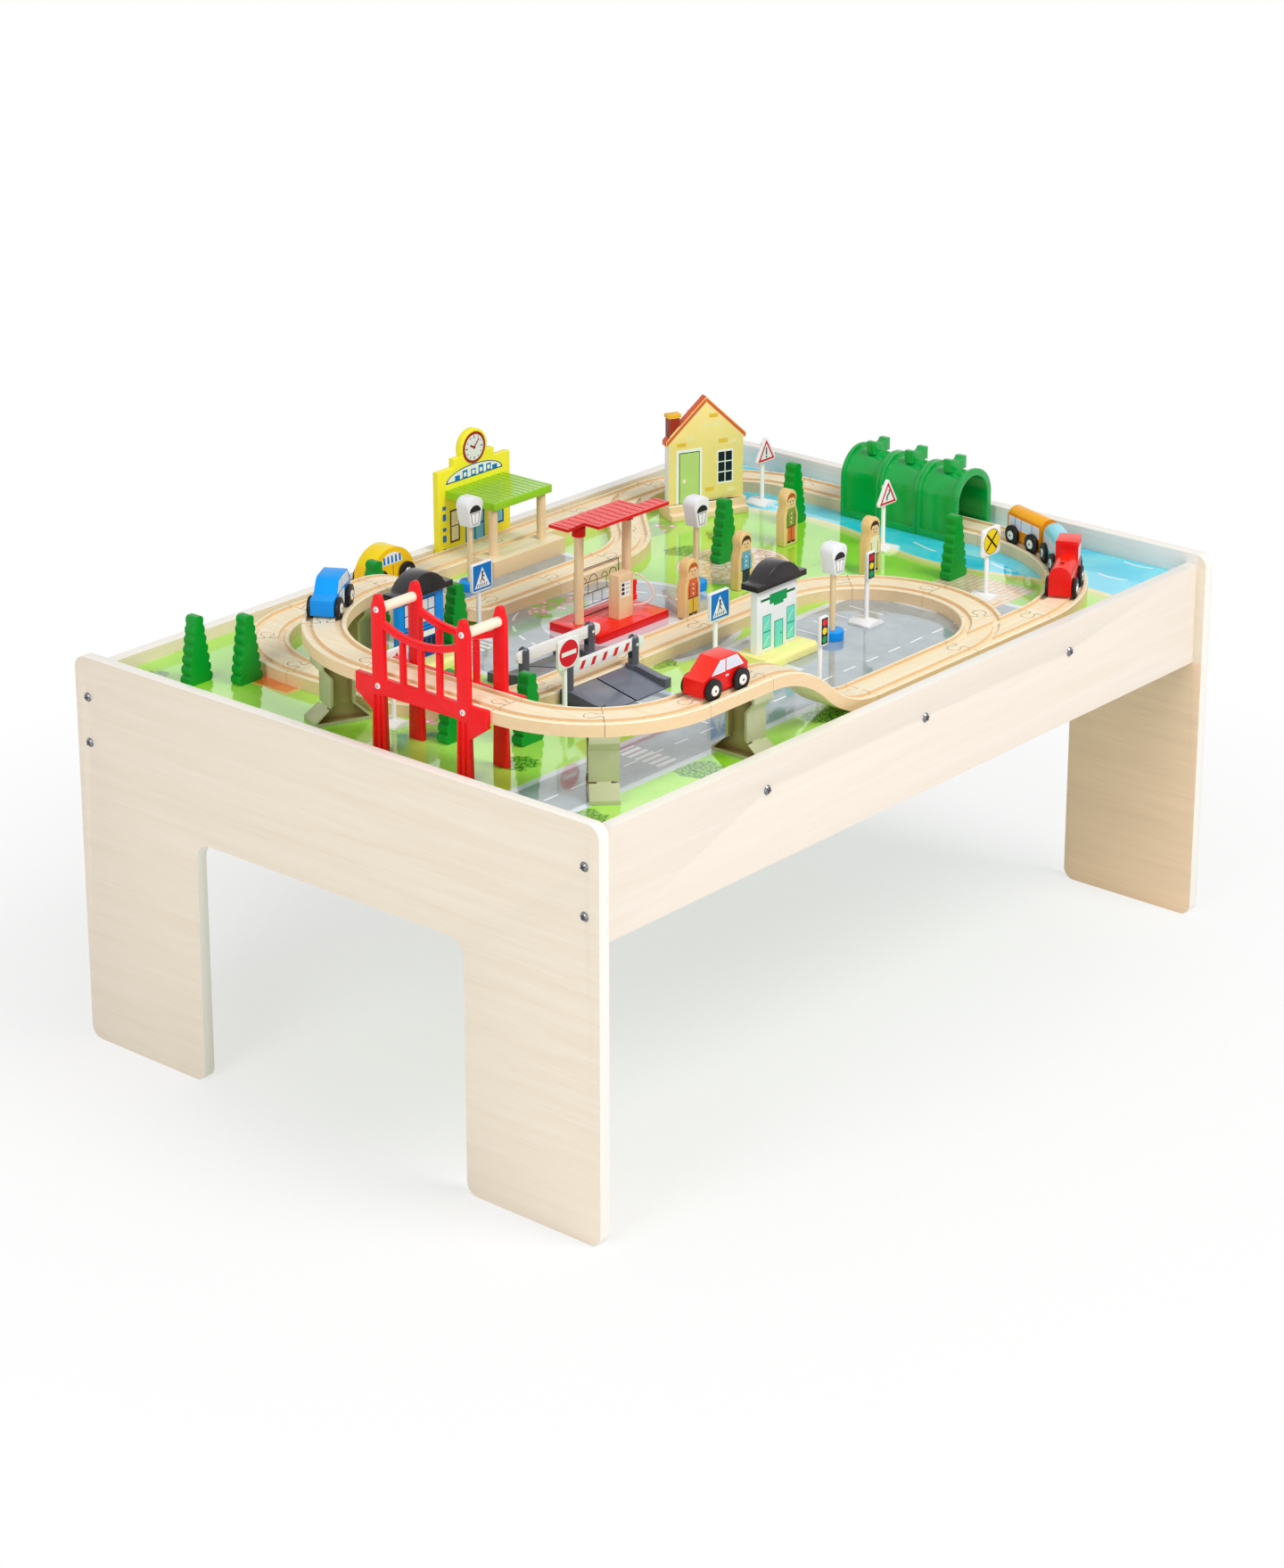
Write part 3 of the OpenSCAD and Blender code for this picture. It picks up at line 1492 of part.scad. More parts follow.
module yellow_car_front_wheels() { color("DimGray") on_board() at_yellow_car() wheelset(car_wheelbase/2); }

module yellow_car_rear_wheels() { color("DimGray") on_board() at_yellow_car() wheelset(-car_wheelbase/2); }

module loco_front_wheels() { color("DimGray") on_board() at_loco() wheelset(loco_wheelbase/2); }

module loco_rear_wheels() { color("DimGray") on_board() at_loco() wheelset(-loco_wheelbase/2); }

module blue_wagon_front_wheels() {
    color("DimGray") on_board() at_wagon(blue_wagon_angle) wheelset(wagon_wheelbase/2);
}

module blue_wagon_rear_wheels() {
    color("DimGray") on_board() at_wagon(blue_wagon_angle) wheelset(-wagon_wheelbase/2);
}

module orange_wagon_front_wheels() {
    color("DimGray") on_board() at_wagon(orange_wagon_angle) wheelset(wagon_wheelbase/2);
}

module orange_wagon_rear_wheels() {
    color("DimGray") on_board() at_wagon(orange_wagon_angle) wheelset(-wagon_wheelbase/2);
}

end_panel_left();
end_panel_right();
side_rail_front();
side_rail_back();
play_boards();
cross_battens();
table_screws();
straight_tracks();
curved_tracks();
turnout_tracks();
ramp_tracks();
raised_tracks();
track_piers();
bridge_frames();
bridge_dowels();
crossing_ramps();
barrier_front();
barrier_back();
tunnel_sections();
station_wall();
station_roof();
station_platform();
house_wall();
house_plinth();
fuel_base();
fuel_posts();
fuel_roof();
fuel_pump();
fuel_screen();
fuel_hose();
fuel_nozzle();
blue_house_wall();
white_house_wall();
town_house_roofs();
town_house_bases();
trees();
figures();
lamp_bases();
lamp_posts();
lamp_heads();
sign_stands();
sign_plates();
red_car_body();
red_car_front_wheels();
red_car_rear_wheels();
blue_car_body();
blue_car_front_wheels();
blue_car_rear_wheels();
yellow_car_body();
yellow_car_front_wheels();
yellow_car_rear_wheels();
loco_body();
loco_front_wheels();
loco_rear_wheels();
blue_wagon_body();
blue_wagon_front_wheels();
blue_wagon_rear_wheels();
orange_wagon_body();
orange_wagon_front_wheels();
orange_wagon_rear_wheels();
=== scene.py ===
import json
import math

import bmesh
import bpy
from mathutils import Matrix, Vector
from mathutils.kdtree import KDTree


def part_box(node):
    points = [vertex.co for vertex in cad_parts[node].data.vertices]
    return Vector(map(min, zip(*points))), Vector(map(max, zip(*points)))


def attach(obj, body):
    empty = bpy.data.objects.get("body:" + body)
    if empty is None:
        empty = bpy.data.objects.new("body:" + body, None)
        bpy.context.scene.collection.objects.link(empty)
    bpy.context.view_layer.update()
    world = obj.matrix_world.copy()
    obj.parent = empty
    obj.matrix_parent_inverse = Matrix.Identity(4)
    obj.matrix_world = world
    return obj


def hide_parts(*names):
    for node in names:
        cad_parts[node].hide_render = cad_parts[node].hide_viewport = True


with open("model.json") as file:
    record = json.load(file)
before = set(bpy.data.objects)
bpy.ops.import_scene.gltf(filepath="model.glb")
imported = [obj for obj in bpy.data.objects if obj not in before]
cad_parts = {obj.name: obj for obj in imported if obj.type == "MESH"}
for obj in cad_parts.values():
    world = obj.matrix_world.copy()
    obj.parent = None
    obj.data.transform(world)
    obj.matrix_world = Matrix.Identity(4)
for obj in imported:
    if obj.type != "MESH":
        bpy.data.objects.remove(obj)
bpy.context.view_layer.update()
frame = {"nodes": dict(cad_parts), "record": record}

NODES = frame["nodes"]
BODY_OF = {
    node: body
    for body, members in frame["record"]["behaviour"]["bodies"].items()
    for node in members
}

# Levels and faces of the table in millimetres

MM = 0.001
UP = Vector((0, 0, 1))
BOARD_Z = 358
TRACK_Z = 370
RAISED_Z = 428
PANEL_X = 455
RAIL_Y = 305


def add_object(name, data):
    made = bpy.data.objects.new(name, data)
    bpy.context.scene.collection.objects.link(made)
    return made


# Camera, at the photograph's viewing angle

CAMERA_TURN = math.radians(40.512)
CAMERA_DIP = math.radians(18.495)
CAMERA_PLACE = Vector((-2.6021, -2.195, 1.5715))
CAMERA_SENSOR = 36
CAMERA_LENS = 88.12
CAMERA_SHIFT = -0.15
CAMERA_FAR = 100


def make_camera():
    look = Vector((
        math.cos(CAMERA_TURN) * math.cos(CAMERA_DIP),
        math.sin(CAMERA_TURN) * math.cos(CAMERA_DIP),
        -math.sin(CAMERA_DIP),
    ))
    right = look.cross(UP).normalized()
    up = right.cross(look)
    data = bpy.data.cameras.new("camera")
    data.sensor_width = CAMERA_SENSOR
    data.lens = CAMERA_LENS
    data.shift_y = CAMERA_SHIFT
    data.clip_end = CAMERA_FAR
    camera = add_object("camera", data)
    turn = Matrix((right, up, -look)).transposed().to_4x4()
    camera.matrix_world = Matrix.Translation(CAMERA_PLACE) @ turn
    bpy.context.scene.camera = camera


make_camera()


# Shader helpers

MIX_SHARE, MIX_FIRST, MIX_SECOND, MIX_RESULT = 0, 6, 7, 2


def tone(colour):
    """A display colour from 0 to 255 as the linear colour of a shader; a socket stays as it is."""
    if isinstance(colour, bpy.types.NodeSocket):
        return colour
    parts = [channel / 255 for channel in colour]
    return (*[c / 12.92 if c <= 0.04045 else ((c + 0.055) / 1.055) ** 2.4 for c in parts], 1)


def fill(tree, socket, value):
    """Links a socket to another one, or sets it to a plain value."""
    if isinstance(value, bpy.types.NodeSocket):
        tree.links.new(value, socket)
    else:
        socket.default_value = value


def fill_named(tree, node, **values):
    """Fills a node's sockets by name, with _ for a space."""
    for name, value in values.items():
        fill(tree, node.inputs[name.replace("_", " ")], value)


def fill_row(tree, node, values):
    for socket, value in zip(node.inputs, values):
        fill(tree, socket, value)


def put(tree, kind, **values):
    made = tree.nodes.new("ShaderNode" + kind)
    fill_named(tree, made, **values)
    return made


def maths(tree, operation, *values, clamp=False):
    made = put(tree, "Math")
    made.operation = operation
    made.use_clamp = clamp
    fill_row(tree, made, values)
    return made.outputs[0]


def vector_maths(tree, operation, *values):
    made = put(tree, "VectorMath")
    made.operation = operation
    fill_row(tree, made, values)
    return made.outputs["Value"]


def blend_tones(tree, share, first, second):
    made = put(tree, "Mix")
    made.data_type = "RGBA"
    fill(tree, made.inputs[MIX_SHARE], share)
    fill(tree, made.inputs[MIX_FIRST], tone(first))
    fill(tree, made.inputs[MIX_SECOND], tone(second))
    return made.outputs[MIX_RESULT]


def blend_shaders(tree, share, first, second):
    made = put(tree, "MixShader")
    fill_row(tree, made, (share, first, second))
    return made.outputs[0]


def spread(tree, value, low, high, to_low=0.0, to_high=1.0):
    made = put(tree, "MapRange", Value=value, From_Min=low, From_Max=high,
               To_Min=to_low, To_Max=to_high)
    return made.outputs["Result"]


def noise(tree, vector, scale, detail=3.0, roughness=0.5, distortion=0.0):
    made = put(tree, "TexNoise", Vector=vector, Scale=scale, Detail=detail,
               Roughness=roughness, Distortion=distortion)
    return made.outputs["Fac"]


def axes(tree, vector):
    return put(tree, "SeparateXYZ", Vector=vector).outputs


def object_place(tree):
    return put(tree, "TexCoord").outputs["Object"]


def face_normal(tree):
    return put(tree, "NewGeometry").outputs["Normal"]


def face_mask(tree, axis):
    """1 on faces that look along an axis, 0 on the others."""
    turned = maths(tree, "ABSOLUTE", axes(tree, face_normal(tree))[axis])
    return maths(tree, "GREATER_THAN", turned, 0.5)


def node_of(tree, kind):
    return next(node for node in tree.nodes if node.type == kind)


def new_group(name, inputs, outputs):
    """A node group; its sockets are given as pairs of kind and label."""
    tree = bpy.data.node_groups.new(name, "ShaderNodeTree")
    for in_out, sockets in (("INPUT", inputs), ("OUTPUT", outputs)):
        for kind, label in sockets:
            tree.interface.new_socket(label, in_out=in_out, socket_type="NodeSocket" + kind)
    return tree, tree.nodes.new("NodeGroupInput").outputs, tree.nodes.new("NodeGroupOutput").inputs


def long_grain_group():
    """Long wood grain on a vector that is stretched along the boards."""
    tree, given, result = new_group(
        "long_grain",
        [("Vector", "Vector"), ("Color", "Light"), ("Color", "Dark"), ("Float", "Contrast")],
        [("Color", "Color"), ("Float", "Roughness"), ("Float", "Height")],
    )
    broad = noise(tree, given["Vector"], 0.45, detail=4.0, roughness=0.55, distortion=0.5)
    fine = noise(tree, given["Vector"], 2.4, roughness=0.6)
    both = maths(tree, "ADD", maths(tree, "MULTIPLY", broad, 0.6),
                 maths(tree, "MULTIPLY", fine, 0.4))
    grain = spread(tree, both, 0.36, 0.66)
    share = maths(tree, "MULTIPLY", grain, given["Contrast"], clamp=True)
    fill(tree, result["Color"], blend_tones(tree, share, given["Light"], given["Dark"]))
    fill(tree, result["Roughness"], spread(tree, grain, 0.0, 1.0, 0.38, 0.55))
    fill(tree, result["Height"], maths(tree, "SUBTRACT", 1.0, grain))
    return tree


def skin_group():
    """The slight cloudiness and pitting of a sprayed or moulded surface."""
    tree, given, result = new_group(
        "surface_skin",
        [("Vector", "Vector"), ("Color", "Paint"), ("Color", "Deep"), ("Float", "Gloss")],
        [("Color", "Color"), ("Float", "Roughness"), ("Float", "Height")],
    )
    cloud = noise(tree, given["Vector"], 42.0, roughness=0.55)
    share = spread(tree, cloud, 0.35, 0.7, 0.0, 0.55)
    mottle = spread(tree, cloud, 0.3, 0.7, -0.05, 0.06)
    fill(tree, result["Color"], blend_tones(tree, share, given["Paint"], given["Deep"]))
    fill(tree, result["Roughness"], maths(tree, "ADD", given["Gloss"], mottle, clamp=True))
    fill(tree, result["Height"], noise(tree, given["Vector"], 900.0, detail=2.0))
    return tree


def edge_highlight_group():
    """A mask that is strong along sharp edges, for a painted highlight where they catch the light.
    """
    tree, given, result = new_group("painted_edge_highlight", [("Float", "Radius")], [("Float", "Mask")])
    soft = put(tree, "Bevel", Radius=given["Radius"])
    soft.samples = 3
    near = vector_maths(tree, "DOT_PRODUCT", soft.outputs["Normal"], face_normal(tree))
    fill(tree, result["Mask"], spread(tree, near, 0.99, 0.8))
    return tree


# Finishes

LONG_GRAIN = long_grain_group()
SKIN = skin_group()
EDGE_HIGHLIGHT = edge_highlight_group()
MATERIALS = {}
GRAIN_STRETCH = {"X": (24, 640, 640), "Y": (640, 24, 640), "Z": (640, 640, 24)}
SHEET_STRETCH = {"X": (7, 200, 200), "Y": (200, 7, 200)}
SHEET_CONTRAST = 0.5
WOOD_FLANK_SHADE_SHARE = 0.6
PAINT_FLANK_SHADE_SHARE = 0.7
EDGE_HIGHLIGHT_REACH = 0.0009
HOLLOW_SHADE_REACH = 0.012

# Strength and depth of a bump
GRAIN_BUMP = (0.12, 0.0002)
SKIN_BUMP = (0.05, 0.0001)
BOARD_BUMP = (0.03, 0.0004)


def new_finish(name):
    made = bpy.data.materials.new(name)
    made.use_nodes = True
    tree = made.node_tree
    tree.nodes.clear()
    shader = put(tree, "BsdfPrincipled")
    put(tree, "OutputMaterial", Surface=shader.outputs["BSDF"])
    MATERIALS[name] = made
    return tree, shader, object_place(tree)


def use_group(tree, group, **values):
    made = put(tree, "Group")
    made.node_tree = group
    fill_named(tree, made, **values)
    return made.outputs


def bump(tree, shader, height, strength, distance):
    made = put(tree, "Bump", Height=height, Strength=strength, Distance=distance)
    fill_named(tree, shader, Normal=made.outputs["Normal"])


def paint_flank_shade(tree, colour, flank, share):
    """Painted shade: a colour that goes part of the way to a deeper tone on faces that don't look
    up or down, which stands for sides that catch less light.
    """
    sides = blend_tones(tree, share, colour, flank)
    return blend_tones(tree, face_mask(tree, "Z"), sides, colour)


def wood(name, light, dark, along, contrast=0.8, stretch=GRAIN_STRETCH, flank=None):
    """Wood with long grain; flank is a deeper tone painted as shade on the sawn sides and groove
    walls.
    """
    tree, shader, place = new_finish(name)
    turned = put(tree, "Mapping", Vector=place, Scale=stretch[along])
    grain = use_group(tree, LONG_GRAIN, Vector=turned.outputs[0], Light=tone(light),
                      Dark=tone(dark), Contrast=contrast)
    colour = grain["Color"]
    # Painted shade on the sides and groove walls
    if flank:
        colour = paint_flank_shade(tree, colour, flank, WOOD_FLANK_SHADE_SHARE)
    fill_named(tree, shader, Base_Color=colour, Roughness=grain["Roughness"])
    bump(tree, shader, grain["Height"], *GRAIN_BUMP)
    return tree, shader, grain


def edged_sheet(name, light, dark, edge, tray, under, along, face):
    """A laminated sheet: printed grain, plain edging, and on its inner side painted light and
    shade: one tone in the tray above the board and another, warm one for the bounce light under
    the table."""
    tree, shader, grain = wood(name, light, dark, along, SHEET_CONTRAST, SHEET_STRETCH)
    place, normal = axes(tree, object_place(tree)), axes(tree, face_normal(tree))
    inward = maths(tree, "MULTIPLY", normal[face], maths(tree, "SIGN", place[face]))
    inner = maths(tree, "LESS_THAN", inward, -0.5)
    inside = maths(tree, "LESS_THAN", maths(tree, "ABSOLUTE", place["Y"]), RAIL_Y * MM)
    high = maths(tree, "GREATER_THAN", place["Z"], BOARD_Z * MM)
    above = maths(tree, "MULTIPLY", inside, high)
    below = maths(tree, "LESS_THAN", place["Z"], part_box("side_rail_front")[0][2])
    # Painted light and shade: the inner faces take a tone for how they are lit, not the laminate's
    # own colour
    inner_light_tone = blend_tones(tree, above, under, tray)
    streak = put(tree, "HueSaturation", Color=inner_light_tone, Value=0.9)
    streaked_inner_light = blend_tones(tree, grain["Height"], streak.outputs[0], inner_light_tone)
    painted_light_mask = maths(tree, "MULTIPLY", inner, maths(tree, "MAXIMUM", above, below))
    faces = blend_tones(tree, painted_light_mask, grain["Color"], streaked_inner_light)
    fill_named(tree, shader, Base_Color=blend_tones(tree, face_mask(tree, face), edge, faces),
               Coat_Weight=0.12, Coat_Roughness=0.25)


def paint(name, colour, deep, gloss, coat, edge_highlight=0.0, top_coat=None, flank=None):
    """Sprayed paint or moulded plastic: a painted highlight along sharp edges, glossier on top,
    and a deeper tone painted as shade on its flanks."""
    tree, shader, place = new_finish(name)
    skin = use_group(tree, SKIN, Vector=place, Paint=tone(colour), Deep=tone(deep), Gloss=gloss)
    shown = skin["Color"]
    # Painted highlight: a lighter, less saturated colour along sharp edges
    if edge_highlight:
        mask = use_group(tree, EDGE_HIGHLIGHT, Radius=EDGE_HIGHLIGHT_REACH)["Mask"]
        paler = put(tree, "HueSaturation", Color=shown, Saturation=0.88, Value=1.14)
        shown = blend_tones(tree, maths(tree, "MULTIPLY", mask, edge_highlight), shown, paler.outputs[0])
    # Painted shade on faces that don't look up or down
    if flank:
        shown = paint_flank_shade(tree, shown, flank, PAINT_FLANK_SHADE_SHARE)
    if top_coat:
        coat = maths(tree, "MULTIPLY_ADD", face_mask(tree, "Z"), top_coat - coat, coat)
    fill_named(tree, shader, Base_Color=shown, Roughness=skin["Roughness"],
               Specular_IOR_Level=0.22, Coat_Weight=coat, Coat_Roughness=0.12)
    bump(tree, shader, skin["Height"], *SKIN_BUMP)


def shaded_hollows(name, outer, inner, gloss):
    """Moulded plastic with painted shade: darker and browner inside its hollows, from ambient
    occlusion.
    """
    tree, shader, place = new_finish(name)
    skin = use_group(tree, SKIN, Vector=place, Paint=tone(outer), Deep=tone(outer), Gloss=gloss)
    hollow_shade = put(tree, "AmbientOcclusion", Distance=HOLLOW_SHADE_REACH)
    hollow_shade.samples = 6
    share = spread(tree, hollow_shade.outputs["AO"], 0.55, 0.95)
    fill_named(tree, shader, Base_Color=blend_tones(tree, share, inner, skin["Color"]),
               Roughness=skin["Roughness"], Coat_Weight=0.2)
    bump(tree, shader, skin["Height"], *SKIN_BUMP)


def brushed_steel(name, colour):
    tree, shader, place = new_finish(name)
    lines = noise(tree, place, 1400.0, detail=2.0)
    fill_named(tree, shader, Base_Color=tone(colour), Metallic=1.0,
               Roughness=spread(tree, lines, 0.3, 0.7, 0.18, 0.34))
    bump(tree, shader, lines, *SKIN_BUMP)


def clear_sheet(name, colour):
    tree, shader, place = new_finish(name)
    scuffs = spread(tree, noise(tree, place, 260.0), 0.35, 0.75, 0.02, 0.12)
    fill_named(tree, shader, Base_Color=tone(colour), Roughness=scuffs, IOR=1.3,
               Transmission_Weight=1.0)


# The tray and under tones are painted light and shade on the inner faces
edged_sheet("laminate_end", light=(243, 231, 213), dark=(230, 215, 191), edge=(249, 245, 237),
            tray=(252, 246, 240), under=(255, 223, 188), along="Y", face="X")
edged_sheet("laminate_rail", light=(243, 232, 219), dark=(234, 220, 201), edge=(249, 245, 237),
            tray=(238, 222, 194), under=(255, 223, 188), along="X", face="Y")
wood("batten", (226, 200, 160), (190, 155, 110), "Y")
# The beech's flank tone is painted shade on the sides of the track and its groove walls
wood("beech_x", (255, 243, 212), (243, 217, 172), "X", flank=(232, 189, 136))
wood("beech_y", (255, 243, 212), (243, 217, 172), "Y", flank=(232, 189, 136))
wood("beech_z", (246, 222, 180), (226, 188, 136), "Z")
wood("figure_wood", (246, 214, 150), (228, 184, 112), "Z")
wood("pale_dowel", (255, 244, 224), (245, 227, 194), "X", contrast=0.6)
shaded_hollows("khaki_recess_shade", (168, 156, 104), (124, 104, 48), gloss=0.4)
brushed_steel("steel", (206, 207, 210))
brushed_steel("screw_steel", (132, 132, 136))
clear_sheet("clear_plastic", (252, 252, 252))

# Colour, deeper patches, gloss, coat, painted highlight along edges, coat on top, painted shade on
# flanks
PAINTS = {
    "khaki": ((188, 192, 152), (176, 180, 138), 0.36, 0.12, 0.4),
    "red_moulding": ((248, 14, 26), (238, 4, 16), 0.3, 0.1, 0.3),
    "grey_moulding": ((118, 124, 138), (104, 109, 122), 0.34, 0.06, 0.4, 0.3, (66, 64, 70)),
    "white_moulding": ((248, 248, 247), (240, 240, 240), 0.3, 0.15),
    "green_moulding": ((0, 172, 72), (0, 156, 58), 0.16, 0.4, 0.15),
    "tree_paint": ((0, 156, 48), (0, 138, 38), 0.34, 0.06, 0.4),
    "yellow_paint": ((255, 244, 58), (252, 236, 40), 0.36, 0.1),
    "cream_paint": ((252, 245, 160), (248, 237, 140), 0.4, 0.1),
    "house_paint": ((255, 232, 154), (253, 224, 138), 0.42, 0.06),
    "lime_paint": ((158, 216, 44), (144, 206, 26), 0.3, 0.1, 0.4, 0.5),
    "blue_paint": ((0, 160, 246), (0, 150, 240), 0.3, 0.06, 0.3, None, (0, 136, 234)),
    "sky_paint": ((146, 230, 246), (124, 218, 238), 0.32, 0.15, 0.4),
    "orange_paint": ((254, 178, 8), (250, 162, 0), 0.3, 0.08, 0.4, None, (228, 118, 6)),
    "red_paint": ((250, 42, 12), (240, 28, 4), 0.28, 0.06, 0.3, 0.3, (220, 0, 18)),
    "canopy_red": ((246, 32, 12), (236, 18, 4), 0.24, 0.06, 0.4, 0.4, (218, 2, 20)),
    "taxi_paint": ((255, 224, 8), (253, 212, 2), 0.3, 0.08, 0.4, None, (254, 194, 12)),
    "black_paint": ((42, 38, 40), (32, 29, 31), 0.28, 0.1, 0.5, 0.4),
    "white_paint": ((246, 247, 249), (238, 240, 243), 0.36, 0.1),
    "tyre": ((30, 28, 29), (22, 21, 22), 0.4, 0.06, 0.4),
    "hub_paint": ((250, 244, 236), (240, 232, 222), 0.3, 0.2),
    "hose_plastic": ((250, 226, 212), (244, 212, 196), 0.36, 0.15),
    "roof_orange": ((226, 100, 46), (214, 84, 34), 0.4, 0.08),
    "brick_brown": ((136, 44, 32), (118, 32, 22), 0.45, 0.06),
    "cap_orange": ((246, 190, 66), (240, 178, 50), 0.42, 0.06),
}
for finish, look in PAINTS.items():
    paint(finish, *look)

INK = {
    "white": (250, 250, 250), "black": (28, 27, 30), "red": (232, 14, 38), "blue": (0, 122, 206),
    "deep_blue": (6, 62, 140), "green": (0, 160, 84), "dark_green": (20, 110, 62),
    "teal": (118, 232, 206), "teal_line": (40, 176, 146), "door_green": (192, 220, 134),
    "yellow": (248, 220, 20), "amber": (250, 190, 40), "grey": (196, 204, 208),
    "mid_grey": (120, 124, 128), "pane": (226, 228, 242), "violet": (150, 110, 190),
    "brown": (96, 60, 34), "rim_red": (168, 48, 36), "skin": (247, 206, 160),
    "hair": (74, 44, 26), "ginger": (196, 92, 26), "jacket": (112, 176, 206),
    "trousers": (44, 52, 70), "coral": (226, 106, 62), "apron": (150, 156, 70),
    "cream": (252, 240, 204), "brick_mark": (240, 200, 70), "brick_pale": (250, 236, 176),
    "night_pane": (20, 32, 44), "sky": (126, 206, 240), "joint": (120, 82, 44),
    "clock_face": (240, 238, 242), "clock_red": (138, 32, 24),
}
INK_SHADE = 0.95


def ink(name):
    """The finish of a printing ink, made when it is first used."""
    finish = "ink_" + name
    if finish not in MATERIALS:
        paint(finish, INK[name], [c * INK_SHADE for c in INK[name]], gloss=0.36, coat=0.06)
    return finish


# Mesh helpers

WELD = 0.00001
FLAT = math.radians(1)
SHARP = math.radians(30)
SMOOTH_TO = 34


def as_piece(name, made, body, slot, *finishes, smooth=None):
    """Makes an object from a bmesh, with its place in its mesh, riding on a body."""
    mesh = bpy.data.meshes.new(name)
    made.to_mesh(mesh)
    made.free()
    for finish in finishes:
        mesh.materials.append(MATERIALS[finish])
    if smooth:
        mesh.polygons.foreach_set("use_smooth", [True] * len(mesh.polygons))
        mesh.set_sharp_from_angle(angle=math.radians(smooth))
    piece = add_object(name, mesh)
    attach(piece, body)
    return piece


def dress(node, finish):
    """Gives a CAD node its finish and keeps its shape."""
    for slot in NODES[node].material_slots:
        slot.material = MATERIALS[finish]


def node_mesh(node):
    made = bmesh.new()
    made.from_mesh(NODES[node].data)
    bmesh.ops.remove_doubles(made, verts=made.verts, dist=WELD)
    return made


def eased(node, width, finish, slot, segments=2, sort=None, extra=()):
    """A copy of a node with eased edges, which stands for it; sort gives a face its finish."""
    made = node_mesh(node)
    bmesh.ops.dissolve_limit(made, angle_limit=FLAT, verts=made.verts, edges=made.edges)
    edges = [e for e in made.edges if len(e.link_faces) == 2 and e.calc_face_angle(0) > SHARP]
    bmesh.ops.bevel(made, geom=edges, offset=width * MM, offset_type="OFFSET", segments=segments,
                    profile=0.5, affect="EDGES", clamp_overlap=True, material=-1, loop_slide=True)
    for face in made.faces:
        face.material_index = sort(face) if sort else 0
    piece = as_piece(node + "_shape", made, BODY_OF[node], slot, finish, *extra, smooth=SMOOTH_TO)
    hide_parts(node)
    return piece


def thicken(made, faces, depth, height):
    """Sinks flat faces to a depth and raises a copy of them to a height, closed at the sides."""
    bmesh.ops.translate(made, vec=(0, 0, -depth), verts=list({v for f in faces for v in f.verts}))
    raised = bmesh.ops.extrude_face_region(made, geom=faces)
    tops = [v for v in raised["geom"] if isinstance(v, bmesh.types.BMVert)]
    bmesh.ops.translate(made, vec=(0, 0, depth + height), verts=tops)


# Hose: its route from part.scad, from the pump's foot

PUMP = Vector((-26.6, 31.8, 366)) * MM
HOSE_D = 1.8 * MM
HOSE_POINTS = [
    (10, 0, 9), (13, -0.3, 8), (16.5, -1.2, 7), (20.5, -2.8, 6.4), (24.5, -5, 6.6),
    (28, -7.4, 7.8), (30.8, -9.6, 10), (32.6, -11.2, 13), (33.2, -12, 16.4), (32.8, -12, 19.8),
    (31.6, -11.5, 23), (29.8, -10.6, 26), (27.6, -9.5, 28.9), (25.2, -8.4, 31.6),
    (22.8, -7.2, 34.2), (20.5, -6.1, 36.6), (18.4, -5.2, 38.4), (16.4, -4.5, 39.2),
    (14.6, -4.1, 38.6), (13.4, -4, 37.2), (13, -4, 35.6), (13, -4, 34),
]


def make_hose():
    points = [PUMP + Vector(p) * MM for p in HOSE_POINTS]
    data = bpy.data.curves.new("pump_hose", "CURVE")
    data.dimensions = "3D"
    data.bevel_depth = HOSE_D / 2
    data.bevel_resolution = 4
    data.resolution_u = 6
    data.use_fill_caps = True
    line = data.splines.new("BEZIER")
    line.bezier_points.add(len(points) - 1)
    for knot, point in zip(line.bezier_points, points):
        knot.co = point
        knot.handle_left_type = knot.handle_right_type = "AUTO"
    data.materials.append(MATERIALS["hose_plastic"])
    hose = add_object("pump_hose", data)
    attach(hose, "table")
    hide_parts("fuel_hose")
    nozzle = eased("fuel_nozzle", 0.4, "red_moulding", "red_plastic")
    length = sum((b - a).length for a, b in zip(points, points[1:]))
    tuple(points[0])


make_hose()


# Flat prints: thin inlays of ink on one face, drawn in millimetres

INK_STEP = 0.06
INK_SINK = 0.05

# The directions of a print's x and y on each face
FRONT = ((1, 0, 0), (0, 0, 1))
BACK = ((-1, 0, 0), (0, 0, 1))
LEFT = ((0, -1, 0), (0, 0, 1))
RIGHT = ((0, 1, 0), (0, 0, 1))


def arc(x, y, r, start, end, count=14, squash=1.0):
    """Points on an arc round x, y between two angles in degrees."""
    turns = [math.radians(start + (end - start) * i / count) for i in range(count + 1)]
    return [(x + r * math.cos(t), y + r * squash * math.sin(t)) for t in turns]


